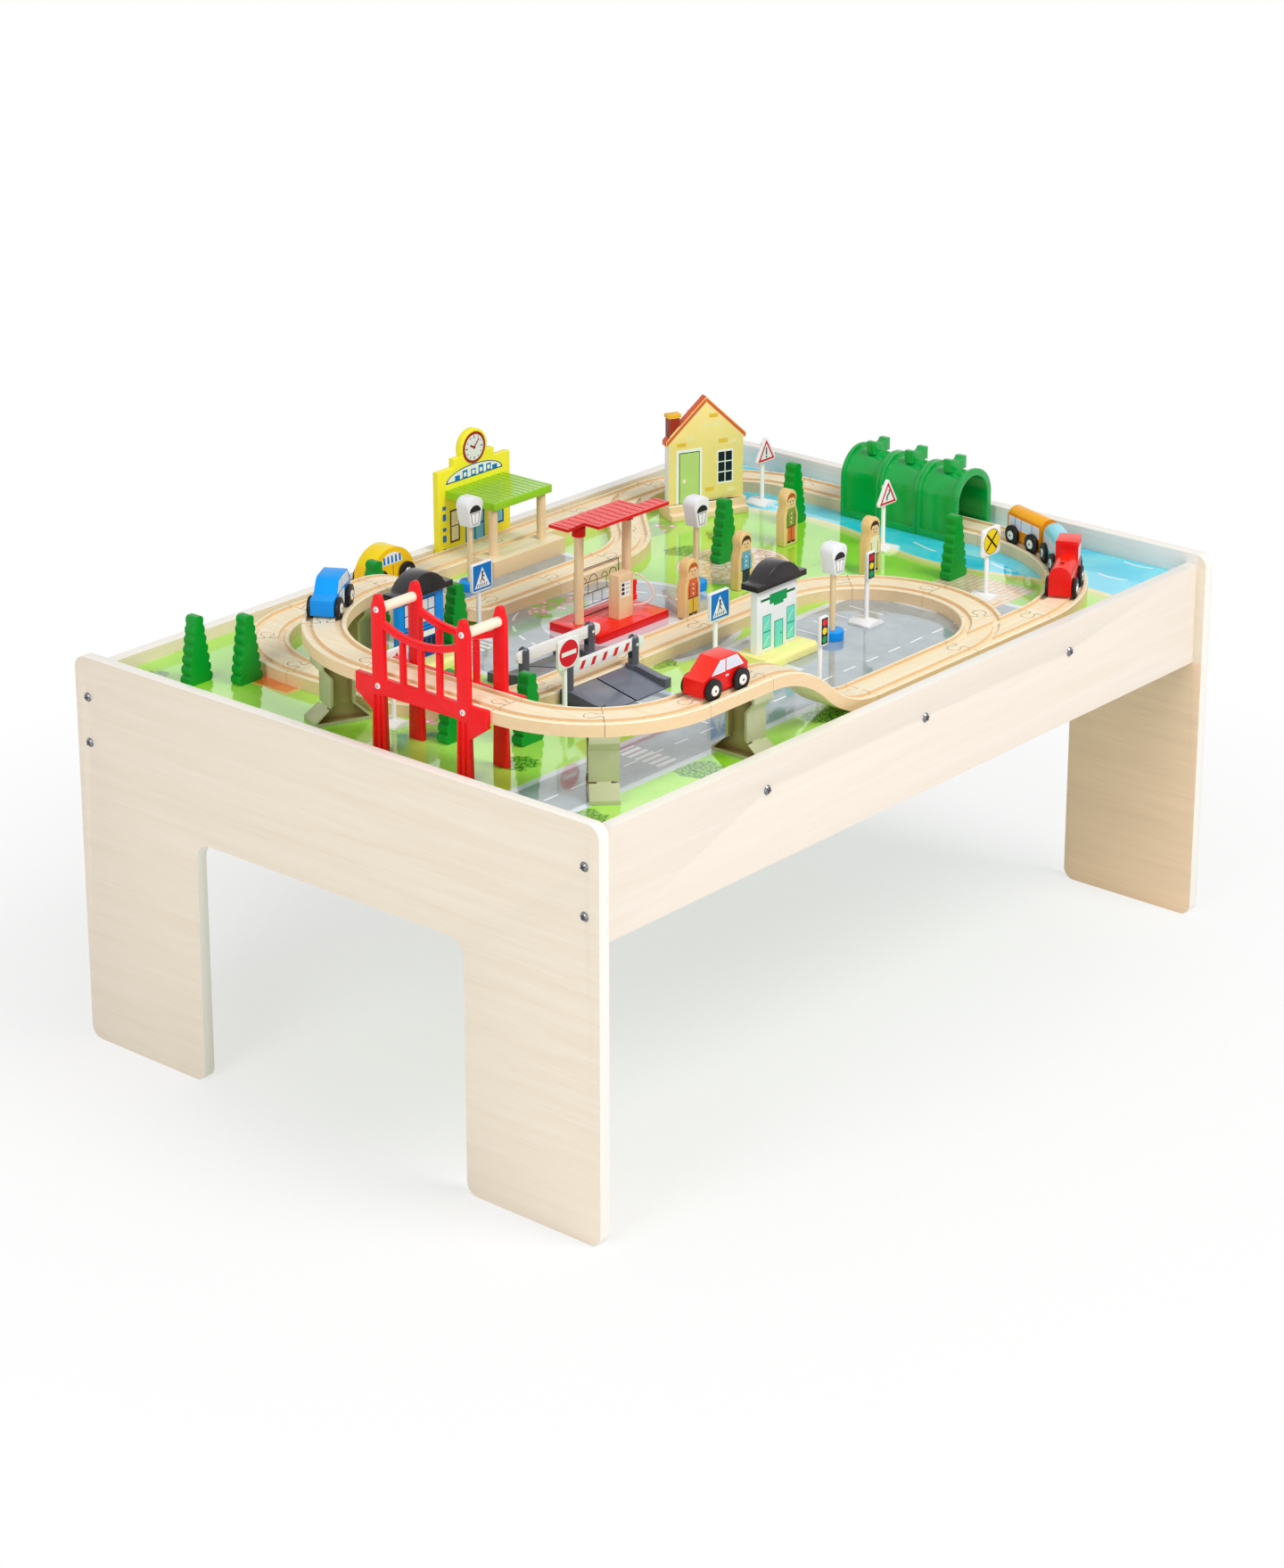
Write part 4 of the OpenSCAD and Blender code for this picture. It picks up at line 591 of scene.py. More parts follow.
class Print:
    """Ink on a face: x runs right and y up as seen from outside."""

    def __init__(self, name, body, slot, origin, right, up, flip=1):
        self.name, self.body, self.slot, self.flip = name, body, slot, flip
        right, up = Vector(right).normalized(), Vector(up).normalized()
        turn = Matrix((right, up, right.cross(up))).transposed().to_4x4()
        self.place = Matrix.Translation(Vector(origin) * MM) @ turn @ Matrix.Scale(MM, 4)
        self.made = bmesh.new()
        self.inks = []
        self.level = 1

    def over(self):
        """Lays what follows over what is there already."""
        self.level += 1
        return self

    def lay(self, colour, faces):
        if colour not in self.inks:
            self.inks.append(colour)
        for face in faces:
            face.material_index = self.inks.index(colour)
        thicken(self.made, faces, INK_SINK, INK_STEP * self.level)

    def poly(self, colour, points):
        corners = [self.made.verts.new((x * self.flip, y, 0)) for x, y in points]
        self.lay(colour, [self.made.faces.new(corners)])

    def rect(self, colour, x0, y0, x1, y1):
        self.poly(colour, [(x0, y0), (x1, y0), (x1, y1), (x0, y1)])

    def disc(self, colour, x, y, r, count=28):
        ring = bmesh.ops.create_circle(self.made, cap_ends=True, segments=count, radius=r,
                                       matrix=Matrix.Translation((x * self.flip, y, 0)))
        self.lay(colour, list({f for v in ring["verts"] for f in v.link_faces}))

    def bar(self, colour, x0, y0, x1, y1, width):
        """A straight stroke between two points."""
        along = Vector((x1 - x0, y1 - y0)).normalized() * width / 2
        side = Vector((-along.y, along.x))
        a, b = Vector((x0, y0)), Vector((x1, y1))
        self.poly(colour, [a - side, b - side, b + side, a + side])

    def stroke(self, colour, points, width):
        """A bent stroke through several points."""
        for a, b in zip(points, points[1:]):
            self.bar(colour, *a, *b, width)

    def done(self):
        bmesh.ops.recalc_face_normals(self.made, faces=self.made.faces)
        bmesh.ops.transform(self.made, matrix=self.place, verts=self.made.verts)
        as_piece(self.name, self.made, self.body, self.slot, *[ink(c) for c in self.inks])


def front_and_back(name, body, slot, place, half, mirror=False):
    """Gives a print for the front of a flat piece and one for its back, and finishes each."""
    x, y, z = place
    for end, side, face in (("front", -1, FRONT), ("back", 1, BACK)):
        art = Print(f"{name}_{end}", body, slot, (x, y + side * half, z), *face,
                    flip=-side if mirror else 1)
        yield end, art
        art.done()


# Printed play board

class BoardPrint:
    """Draws the board's print from signed distances in millimetres, negative inside a shape."""

    def __init__(self):
        self.tree, self.shader, self.place = new_finish("board_print")
        scaled = put(self.tree, "Mapping", Vector=self.place, Scale=(1000, 1000, 1000))
        parts = axes(self.tree, scaled.outputs[0])
        self.x, self.y = parts["X"], parts["Y"]
        self.colour = None

    def do(self, operation, *values, clamp=False):
        return maths(self.tree, operation, *values, clamp=clamp)

    def off(self, value, centre, half):
        return self.do("SUBTRACT", self.do("ABSOLUTE", self.do("SUBTRACT", value, centre)), half)

    def box(self, x, y, half_x, half_y):
        return self.do("MAXIMUM", self.off(self.x, x, half_x), self.off(self.y, y, half_y))

    def reach(self, x, y, squash=1.0):
        across = self.do("SUBTRACT", self.x, x)
        along = self.do("MULTIPLY", self.do("SUBTRACT", self.y, y), squash)
        squares = [self.do("MULTIPLY", leg, leg) for leg in (across, along)]
        return self.do("SQRT", self.do("ADD", *squares))

    def disc(self, x, y, r, squash=1.0):
        return self.do("SUBTRACT", self.reach(x, y, squash), r)

    def ring(self, x, y, r, half):
        return self.off(self.reach(x, y), r, half)

    def chain(self, operation, shapes):
        both = shapes[0]
        for shape in shapes[1:]:
            both = self.do(operation, both, shape)
        return both

    def joined(self, *shapes):
        return self.chain("MINIMUM", shapes)

    def common(self, *shapes):
        return self.chain("MAXIMUM", shapes)

    def grown(self, shape, by):
        return self.do("SUBTRACT", shape, by)

    def dashes(self, value, pitch, half):
        return self.off(self.do("FLOORED_MODULO", value, pitch), pitch / 2, half)

    def wave(self, length, swing):
        return self.do("MULTIPLY", self.do("SINE", self.do("DIVIDE", self.y, length)), swing)

    def noise(self, scale, distortion=0.0):
        return noise(self.tree, self.place, scale, distortion=distortion)

    def two_tone(self, first, second, scale, low=0.4, high=0.62, distortion=0.0):
        share = spread(self.tree, self.noise(scale, distortion), low, high)
        return blend_tones(self.tree, share, first, second)

    def cells(self, scale, feature="F1"):
        made = put(self.tree, "TexVoronoi", Vector=self.place, Scale=scale)
        made.feature = feature
        return made.outputs

    def lay(self, colour, shape, soft=0.8):
        mask = self.do("SUBTRACT", 0.5, self.do("DIVIDE", shape, soft), clamp=True)
        self.colour = blend_tones(self.tree, mask, self.colour, colour)


ROAD_HALF = 30
KERB_W = 8
GUTTER_W = 1.2
LANE_HALF = 1.1
FRONT_ROAD_Y = -206.0
CROSS_ROAD_X = -173.0
LOOP = (-30.0, 42.0)
LOOP_R = 92.0
ISLAND_R = 58.0
BANK_X = 330.0
PATCH = (-334.0, 170.0)

# x, y, radius, squash
FLOWER_BEDS = (
    (-30.0, 108.0, 34.0, 1.5), (210.0, 196.0, 30.0, 1.4), (-330.0, -28.0, 26.0, 1.0),
)
# x, y, radius
BUSHES = (
    (-352.0, -132.0, 20.0), (-408.0, -258.0, 20.0), (-262.0, -262.0, 22.0),
    (-92.0, -262.0, 20.0), (60.0, -258.0, 24.0), (-300.0, 230.0, 22.0),
    (-412.0, 262.0, 18.0), (176.0, 128.0, 18.0), (-246.0, -20.0, 18.0),
    (240.0, 130.0, 16.0), (30.0, 250.0, 18.0), (-82.0, -70.0, 14.0),
)
BUSH_SQUASH = 1.25


def lay_meadow(d):
    meadow = d.two_tone((160, 236, 54), (190, 246, 106), 5.0, 0.42, 0.56)
    tufts = spread(d.tree, d.noise(260.0), 0.5, 0.8, 0.0, 0.2)
    d.colour = blend_tones(d.tree, tufts, meadow, (120, 200, 56))


def lay_water(d):
    """A lake with a wavy bank of sand and white ripples."""
    bank = d.do("SUBTRACT", d.do("ADD", BANK_X, d.wave(52.0, 16.0)), d.x)
    d.lay((214, 232, 120), d.grown(bank, 16.0), 6.0)
    d.lay((246, 230, 170), d.grown(bank, 7.0), 2.0)
    d.lay(d.two_tone((52, 222, 255), (112, 238, 255), 12.0, 0.44, 0.62, 1.5), bank, 1.5)
    ripple = d.dashes(d.do("ADD", d.x, d.wave(14.0, 5.0)), 46.0, 1.6)
    d.lay((226, 248, 252), d.common(ripple, d.dashes(d.y, 97.0, 17.0), d.grown(bank, -10.0)))


def lay_roads(d):
    """Roads with kerbs, lane lines, parking bays, a roundabout and two zebra crossings."""
    front = d.common(d.off(d.y, FRONT_ROAD_Y, ROAD_HALF), d.do("SUBTRACT", d.x, 252.0))
    cross = d.common(d.off(d.x, CROSS_ROAD_X, ROAD_HALF), d.off(d.y, 10.0, 220.0))
    loop = d.common(d.ring(*LOOP, LOOP_R, 26.0), d.do("SUBTRACT", CROSS_ROAD_X, d.x))
    yard = d.box(90.0, -150.0, 100.0, 62.0)
    back = d.box(-60.0, 206.0, 150.0, 24.0)
    roads = d.joined(front, cross, loop, yard, back)
    d.lay((218, 232, 242), d.grown(roads, KERB_W))
    d.lay((196, 206, 214), d.grown(roads, GUTTER_W))
    d.lay(d.two_tone((150, 164, 170), (166, 179, 185), 60.0, 0.35, 0.65), roads)
    d.lay((230, 237, 246), d.disc(*LOOP, ISLAND_R))
    d.lay((244, 247, 248), d.joined(
        d.common(d.off(d.y, FRONT_ROAD_Y, LANE_HALF), d.dashes(d.x, 34.0, 9.0), front),
        d.common(d.off(d.x, CROSS_ROAD_X, LANE_HALF), d.dashes(d.y, 34.0, 9.0), cross),
        d.common(d.ring(*LOOP, LOOP_R, LANE_HALF), d.dashes(d.y, 22.0, 6.0), loop),
        d.common(d.dashes(d.x, 28.0, 0.9), d.box(90.0, -120.0, 90.0, 20.0)),
    ))
    d.lay((246, 248, 249), d.joined(
        d.common(d.dashes(d.y, 8.0, 2.4), d.box(-268.0, FRONT_ROAD_Y, 12.0, 26.0)),
        d.common(d.dashes(d.x, 8.0, 2.4), d.box(CROSS_ROAD_X, 92.0, 26.0, 12.0)),
    ))


def lay_paving(d):
    """A round bed of pebbles, a paved yard and an orange patch."""
    bed = d.disc(176.0, 60.0, 54.0, 1.1)
    for colour, rim in (((196, 160, 118), 6.0), ((250, 240, 214), 5.0), ((206, 172, 130), 0.8)):
        d.lay(colour, d.grown(bed, rim), 1.0)
    stones = blend_tones(d.tree, d.cells(90.0)["Color"], (255, 250, 240), (244, 206, 176))
    joint = spread(d.tree, d.cells(90.0, "DISTANCE_TO_EDGE")["Distance"], 0.04, 0.14)
    d.lay(blend_tones(d.tree, joint, (222, 182, 142), stones), bed)
    bricks = put(d.tree, "TexBrick", Vector=d.place, Color1=tone((252, 236, 206)),
                 Color2=tone((246, 214, 174)), Mortar=tone((170, 150, 134)), Scale=52.0,
                 Mortar_Size=0.018, Brick_Width=0.75, Row_Height=0.32)
    d.lay(bricks.outputs["Color"], d.box(262.0, -164.0, 44.0, 46.0))
    d.lay((250, 214, 120), d.box(*PATCH, 30.0, 34.0), 1.2)
    d.lay(d.two_tone((255, 116, 10), (255, 150, 50), 40.0), d.box(*PATCH, 26.0, 30.0))


def lay_plants(d):
    """Beds of pink flowers, and bushes with a rough edge."""
    petals = d.cells(120.0)["Distance"]
    heart = d.do("SUBTRACT", d.do("MULTIPLY", petals, 8.0), 3.4)
    outer = d.do("GREATER_THAN", petals, 0.22)
    blossom = blend_tones(d.tree, outer, (255, 250, 250), (246, 150, 204))
    for bed in FLOWER_BEDS:
        patch = d.disc(*bed)
        d.lay((132, 200, 76), patch, 6.0)
        d.lay(blossom, d.common(patch, heart), 0.6)
    rough_edge = d.do("MULTIPLY", d.do("SUBTRACT", d.noise(70.0), 0.5), 26.0)
    shade = spread(d.tree, d.cells(180.0, "DISTANCE_TO_EDGE")["Distance"], 0.02, 0.16)
    foliage = blend_tones(d.tree, shade, (44, 118, 30), (132, 200, 52))
    for bush in BUSHES:
        d.lay(foliage, d.do("ADD", d.disc(*bush, BUSH_SQUASH), rough_edge), 2.0)


def print_board():
    d = BoardPrint()
    for lay_part in (lay_meadow, lay_water, lay_roads, lay_paving, lay_plants):
        lay_part(d)
    colour = blend_tones(d.tree, face_mask(d.tree, "Z"), (214, 192, 158), d.colour)
    fill_named(d.tree, d.shader, Base_Color=colour, Coat_Weight=0.9, Coat_Roughness=0.03,
               Roughness=spread(d.tree, d.noise(30.0), 0.3, 0.7, 0.08, 0.16))
    bump(d.tree, d.shader, d.noise(18.0), *BOARD_BUMP)
    dress("play_boards", "board_print")


print_board()


# Table

for end in ("left", "right"):
    eased("end_panel_" + end, 1.4, "laminate_end", "birch_laminate")
for side in ("front", "back"):
    eased("side_rail_" + side, 1.2, "laminate_rail", "birch_laminate")
dress("cross_battens", "batten")
dress("table_screws", "screw_steel")

SCREW_CREST = 2.6
PANEL_SCREWS = [(y, z) for y in (-299, 299) for z in (342, 298)]
RAIL_SCREWS = [(x, 340) for x in (-226, 0, 226)]
RECESS_HALF = 2.6
RECESS_W = 1.0
FIRST_TURN = 0.4
NEXT_TURN = 0.7


def cross_slots():
    """The cross recess in each screw head of the table, painted black as the shade inside it, each
    turned further than the last.
    """
    out_x, out_y = PANEL_X + SCREW_CREST, RAIL_Y + SCREW_CREST
    heads = [(LEFT, (-out_x, y, z)) for y, z in PANEL_SCREWS]
    heads += [(RIGHT, (out_x, y, z)) for y, z in PANEL_SCREWS]
    heads += [(FRONT, (x, -out_y, z)) for x, z in RAIL_SCREWS]
    heads += [(BACK, (x, out_y, z)) for x, z in RAIL_SCREWS]
    for count, (face, place) in enumerate(heads):
        mark = Print(f"screw_recess_{count}", "table", "steel", place, *face)
        for quarter in (0, math.pi / 2):
            turn = FIRST_TURN + NEXT_TURN * count + quarter
            x, y = RECESS_HALF * math.cos(turn), RECESS_HALF * math.sin(turn)
            mark.bar("black", -x, -y, x, y, RECESS_W)
            mark.over()
        mark.done()


cross_slots()


# Track, piers and bridge

TRACK_NODES = {
    "straight_tracks": "beech_x", "curved_tracks": "beech_y", "turnout_tracks": "beech_x",
    "ramp_tracks": "beech_x", "raised_tracks": "beech_y",
}
for node, finish in TRACK_NODES.items():
    dress(node, finish)
dress("bridge_dowels", "pale_dowel")

# In metres
JOINT_REACH = 0.0015
JOINT_GAP = 0.0007
JOINT_HALF = 0.00025
JOINT_LEAST = 0.0001
LEVEL_SLACK = 0.00002
RIM_ANGLE = 1.2


def number_solids(made):
    """A number for each vertex, the same all over a solid."""
    solid_of = {}
    for seed in made.verts:
        if seed in solid_of:
            continue
        number = len(solid_of)
        reached = [seed]
        solid_of[seed] = number
        while reached:
            for edge in reached.pop().link_edges:
                for vert in edge.verts:
                    if vert not in solid_of:
                        solid_of[vert] = number
                        reached.append(vert)
    return solid_of


def top_rims(node, level):
    """The edges round the top faces of a node's solids, each with its solid."""
    made = node_mesh(node)
    solid_of = number_solids(made)
    rims = [
        (edge.verts[0].co.copy(), edge.verts[1].co.copy(), (node, solid_of[edge.verts[0]]))
        for edge in made.edges
        if edge.calc_face_angle(0) > RIM_ANGLE
        and all(abs(v.co.z - level) < LEVEL_SLACK for v in edge.verts)
    ]
    made.free()
    return rims


def track_joints():
    """Fine dark lines where one piece of track meets the next, round pegs and across ends."""
    made = bmesh.new()
    for level in (TRACK_Z * MM, RAISED_Z * MM):
        rims = [rim for node in TRACK_NODES for rim in top_rims(node, level)]
        samples = [
            (start.lerp(end, (step + 0.5) / steps), owner)
            for start, end, owner in rims
            for steps in [max(1, int((end - start).length / JOINT_REACH))]
            for step in range(steps)
        ]
        near = KDTree(len(samples))
        for number, (place, _) in enumerate(samples):
            near.insert(place, number)
        near.balance()
        for start, end, owner in rims:
            long = (end - start).length
            reach = JOINT_GAP + (JOINT_REACH if long > JOINT_REACH else 0)
            found = near.find_range((start + end) / 2, reach)
            if long < JOINT_LEAST or not any(samples[n][1] > owner for _, n, _ in found):
                continue
            side = (end - start).normalized().cross(UP) * JOINT_HALF
            corners = (start - side, end - side, end + side, start + side)
            face = made.faces.new([made.verts.new(corner) for corner in corners])
            thicken(made, [face], INK_SINK * MM, INK_STEP * MM)
    bmesh.ops.recalc_face_normals(made, faces=made.faces)
    as_piece("track_joint_lines", made, "table", "beech", ink("joint"))


track_joints()

# x, y and turn in degrees of each pier, and where its sunk panels start and end
PIERS = ((-355.8, -232.8, 315), (-206.6, -265, 0), (-376.05, 58.6, 247), (-258.85, 148.55, 188))
PANEL_FLOOR = 5
PANEL_MOUTH = 12.2


def pier_panels(face):
    """1 in the sunk panels of a pier, 0 on its rims and flanks."""
    spot = face.calc_center_median() / MM
    x, y, turn = min(PIERS, key=lambda p: (p[0] - spot.x) ** 2 + (p[1] - spot.y) ** 2)
    turn = math.radians(turn)
    along = abs((spot.x - x) * math.cos(turn) + (spot.y - y) * math.sin(turn))
    return int(PANEL_FLOOR < along < PANEL_MOUTH)


# The sunk panels of the piers take a darker, browner copy of the khaki, with painted shade in its
# hollows
eased("track_piers", 0.7, "khaki", "khaki_plastic", sort=pier_panels, extra=("khaki_recess_shade",))
eased("bridge_frames", 0.8, "red_moulding", "red_plastic")

BRIDGE_X = -388
BRIDGE_FACE = 25.1
BRIDGE_Y = -77.5
TOWER_HALF = 49.5
BRIDGE_SCREWS = [(BRIDGE_Y + y, z) for y in (-TOWER_HALF, TOWER_HALF) for z in (489.5, 420.5)]
HEAD_H = 1.2
HEAD_CREST = 1.1


def bridge_screws():
    """White screw heads on the outer faces of the bridge, each with a grey cross painted as the
    shade in its recess.
    """
    for count, (side, face) in enumerate(((-1, LEFT), (1, RIGHT))):
        made = bmesh.new()
        crest = BRIDGE_X + side * (BRIDGE_FACE + HEAD_CREST)
        turn = Matrix.Rotation(side * math.pi / 2, 4, "Y")
        for y, z in BRIDGE_SCREWS:
            head = bmesh.ops.create_cone(made, cap_ends=True, segments=24, radius1=3.0,
                                         radius2=2.4, depth=HEAD_H)
            place = Matrix.Translation((crest - side * HEAD_H / 2, y, z)) @ turn
            bmesh.ops.transform(made, matrix=Matrix.Scale(MM, 4) @ place, verts=head["verts"])
        rims = [e for e in made.edges if e.calc_face_angle(0) > 0.6]
        bmesh.ops.bevel(made, geom=rims, offset=0.0003, segments=2, profile=0.5, affect="EDGES",
                        material=-1)
        as_piece(f"bridge_screws_{count}", made, "table", "white_plastic", "white_moulding",
                 smooth=40)
        for spot, (y, z) in enumerate(BRIDGE_SCREWS):
            mark = Print(f"bridge_screw_cross_{count}_{spot}", "table", "white_plastic",
                         (crest, y, z), *face)
            mark.bar("mid_grey", -1.6, 0.5, 1.6, -0.5, 0.6)
            mark.over().bar("mid_grey", -0.5, -1.6, 0.5, 1.6, 0.6)
            mark.done()


bridge_screws()


# Level crossing and tunnel

LANE_SEAM_HALF = 1.1
PIVOT = (-128.7, -71.4, 391)
BAR_HALF = 2


def darken_lane_seam():
    """The seam between the two lanes of a road ramp lies in shade."""
    low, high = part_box("crossing_ramps")
    tree = MATERIALS["grey_moulding"].node_tree
    across = axes(tree, object_place(tree))["X"]
    away = maths(tree, "ABSOLUTE", maths(tree, "SUBTRACT", across, (low[0] + high[0]) / 2))
    seam = maths(tree, "LESS_THAN", away, LANE_SEAM_HALF * MM)
    socket = node_of(tree, "BSDF_PRINCIPLED").inputs["Base Color"]
    fill(tree, socket, blend_tones(tree, seam, socket.links[0].from_socket, (34, 36, 42)))


def barrier_stripes():
    for _, art in front_and_back("barrier_stripes", "barrier_front", "white_plastic", PIVOT,
                                 BAR_HALF, mirror=True):
        for i in range(6):
            x = -91 + 15 * i
            art.poly("red", [(x, -3.6), (x + 5, -3.6), (x + 9, 3.6), (x + 4, 3.6)])


darken_lane_seam()
eased("crossing_ramps", 0.5, "grey_moulding", "grey_plastic")
for side in ("front", "back"):
    eased("barrier_" + side, 0.6, "white_moulding", "white_plastic")
eased("tunnel_sections", 0.7, "green_moulding", "green_plastic")
barrier_stripes()


# Station

STATION = (45.5, 285.3, BOARD_Z)
CLOCK_Z = 107
FAN_Z = 77.5


def station_clock(art):
    """A clock with a red rim, hour marks and two hands."""
    art.disc("rim_red", 0, CLOCK_Z, 16.2, 40)
    art.over().disc("clock_face", 0, CLOCK_Z, 13.2, 40)
    art.over()
    for hour in range(12):
        across, up = math.sin(math.radians(30 * hour)), math.cos(math.radians(30 * hour))
        inner, outer, width = (10.2, 12.4, 0.9) if hour % 3 else (9.2, 12.4, 1.3)
        art.bar("mid_grey", inner * across, CLOCK_Z + inner * up, outer * across,
                CLOCK_Z + outer * up, width)
    art.over().bar("clock_red", 0, CLOCK_Z, 7.0, CLOCK_Z + 7.8, 1.5)
    art.over().bar("clock_red", 0.8, CLOCK_Z - 0.4, -5.6, CLOCK_Z + 2.8, 1.9)
    art.over().disc("clock_red", 0, CLOCK_Z, 1.6, 16)


def station_print():
    art = Print("station_wall_print", "table", "yellow_paint", STATION, *FRONT)
    art.poly("deep_blue", arc(0, FAN_Z, 41, 0, 180, 24, 0.32))
    for i in range(5):
        y = 8 + 11 * i
        art.rect("blue", -46.5, y, -41.5, y + (7 if i % 2 else 4))
    art.rect("brown", -36, 16, -22, 50)
    art.rect("blue", -14, 2, 14, 50)
    art.rect("deep_blue", 22, 20, 42, 50)
    art.over().poly("white", arc(0, FAN_Z + 0.8, 39, 2, 178, 24, 0.29))
    art.rect("cream", -34, 18, -24, 48)
    for x in (-12, 1):
        art.rect("sky", x, 8, x + 11, 46)
    for x in (24, 33):
        art.rect("sky", x, 22, x + 7, 48)
    art.over().bar("brown", -34, 33, -24, 33, 1)
    for x, h in ((-28, 6), (-17, 9), (-5, 8), (6, 9.5), (17, 8.5), (26, 5.5)):
        art.rect("blue", x, FAN_Z + 1, x + 7, FAN_Z + h)
    for x in (-12, 1):
        art.rect("blue", x, 26, x + 11, 28)
    art.over()
    for x in (-15.4, -3.4, 7.6, 18.6):
        art.rect("white", x, FAN_Z + 2.6, x + 3.8, FAN_Z + 6.8)
    station_clock(art)
    art.done()


eased("station_wall", 0.7, "yellow_paint", "yellow_paint")
eased("station_roof", 0.6, "lime_paint", "green_plastic")
eased("station_platform", 0.7, "beech_x", "beech")
station_print()


# Garden house, drawn from the middle of its foot

HOUSE = Vector((284.4, 188, BOARD_Z + 15))
HOUSE_TURN = Matrix.Rotation(math.radians(-25), 3, "Z")
HOUSE_ACROSS = HOUSE_TURN @ Vector((1, 0, 0))
HOUSE_OUT = HOUSE_TURN @ Vector((0, -1, 0))
HOUSE_FACE = 5
HOUSE_HALF = 45
HOUSE_EAVE = 68
HOUSE_TOP = 111
HOUSE_SLOPE = (HOUSE_TOP - HOUSE_EAVE) / HOUSE_HALF


def house_faces(face):
    """0 wall, 1 roof edge, 2 chimney, 3 chimney cap, 4 white end grain."""
    spot = face.calc_center_median() / MM - HOUSE
    x, z = spot.dot(HOUSE_ACROSS), spot.z
    flank = abs(face.normal.dot(HOUSE_ACROSS)) > 0.6
    if x < -27 and z > 91.4:
        return 3
    if x < -28 and z > HOUSE_EAVE + 0.5 + (x + HOUSE_HALF) * HOUSE_SLOPE:
        return 2
    if z > 62.4 and (flank or abs(face.normal.z) > 0.4):
        return 1
    return 4 if flank else 0


def house_print():
    for end, side in (("front", 1), ("back", -1)):
        art = Print("house_print_" + end, "table", "yellow_paint",
                    HOUSE + HOUSE_OUT * side * HOUSE_FACE, HOUSE_ACROSS * side, UP, side)
        for x, y in ((-33, 60.5), (3, 88), (-1, 10), (14, 60)):
            art.rect("brick_mark", x, y, x + 10, y + 4.2)
        for x, y in ((-17, 92), (-4, 79), (8, 79), (-22, 66), (25, 58), (24, 7)):
            art.rect("brick_pale", x, y, x + 9, y + 4)
        art.rect("white", -33.5, 0.4, -4.8, 57.5)
        art.rect("white", 12.2, 16.6, 30.4, 52.4)
        art.poly("rim_red", [(-40.9, 73.2), (-30.1, 83.6), (-30.1, 91.9), (-40.9, 91.9)])
        art.rect("amber", -42.4, 92.3, -28.6, 95.5)
        art.over().rect("dark_green", -30.6, 0.4, -7.4, 54.4)
        for flank in (-1, 1):
            band = [(44.3, 63.7), (44.3, 67.4), (0.2, 109.6), (0.2, 105.2), (43.6, 63.7)]
            art.poly("coral", [(flank * x, z) for x, z in band])
        for x in (13.6, 21.8):
            for y in (18.4, 29.4, 40.4):
                art.rect("night_pane", x, y, x + 7.2, y + 9.8)
        art.over().rect("door_green", -29.6, 0.4, -8.2, 53.4)
        art.over().disc("cream", -24.8, 24, 2.2, 18)
        art.done()


eased("house_wall", 0.5, "house_paint", "yellow_paint", sort=house_faces,
      extra=("roof_orange", "brick_brown", "cap_orange", "white_paint"))
eased("house_plinth", 0.7, "beech_x", "beech")
house_print()


# Fuel stop

PUMP_FRONT = (-26.6, 25.9, 366)
SCREEN_FRONT = (-32.6, 55.8, 366)


def pump_print():
    dial = Print("pump_front_print", "table", "beech", PUMP_FRONT, *FRONT)
    dial.rect("white", -6.9, 21.1, 6.9, 35.9)
    for row in range(3):
        dial.rect("mid_grey", -7, 9.5 + 2.6 * row, 0, 10.1 + 2.6 * row)
    dial.over()
    for row in range(3):
        dial.rect("black", -5.4, 23 + 4.2 * row, -1.6, 26 + 4.2 * row)
        dial.rect("grey", 0.2, 23.6 + 4.2 * row, 5.6, 25.2 + 4.2 * row)
    dial.done()


def screen_print():
    """A line drawing of shelves and hoops on the clear screen."""
    sheet = Print("screen_print", "table", "clear_plastic", SCREEN_FRONT, *FRONT)
    for x in (-30.4, 30.4):
        sheet.bar("black", x, 0.5, x, 46.4, 0.8)
    sheet.over()
    for y in (1, 10, 22, 33, 46):
        sheet.bar("black", -30.8, y, 30.8, y, 0.7)
    sheet.over()
    for i in range(9):
        x = -26 + 6.5 * i
        low = 10 if i % 2 else 22
        sheet.bar("black", x, low, x, low + 11, 0.6)
    for x, r in ((-20, 4.5), (-6, 5.5), (10, 4.0), (22, 5.0)):
        sheet.over().stroke("black", arc(x, 34, r, 0, 180, 10), 0.6)
    sheet.done()


eased("fuel_base", 0.8, "canopy_red", "red_paint")
eased("fuel_pump", 0.5, "beech_z", "beech")
dress("fuel_roof", "canopy_red")
dress("fuel_posts", "beech_z")
dress("fuel_screen", "clear_plastic")
pump_print()
screen_print()


# Town houses

TOWN_FACE = 4
BLUE_HOUSE = (-234.8, 94.7, 368)
WHITE_HOUSE = (-1.8, -131.9, 368)


def white_house_print():
    for _, art in front_and_back("white_house_print", "table", "white_paint", WHITE_HOUSE,
                                 TOWN_FACE):
        art.bar("dark_green", -24, 50, 26, 50, 2.4)
        for x in (-21, 14):
            art.rect("teal_line", x, 3, x + 12, 35)
        art.rect("teal_line", -4, 0.3, 9, 26)
        art.over().rect("green", -11, 44, 14, 53.5)
        art.rect("green", -5, 41.4, 9, 44)
        for x in (-20.2, 14.8):
            art.rect("teal", x, 3.8, x + 10.4, 18)
            art.rect("teal", x, 19.4, x + 10.4, 34.2)
        art.rect("teal", -2.8, 0.3, 7.8, 24.8)
        art.over().disc("dark_green", 5.8, 12.4, 0.9, 12)
        for x in (-18.8, 16.2):
            for y in (6, 22):
                art.bar("white", x, y, x + 7.4, y + 8, 0.6)


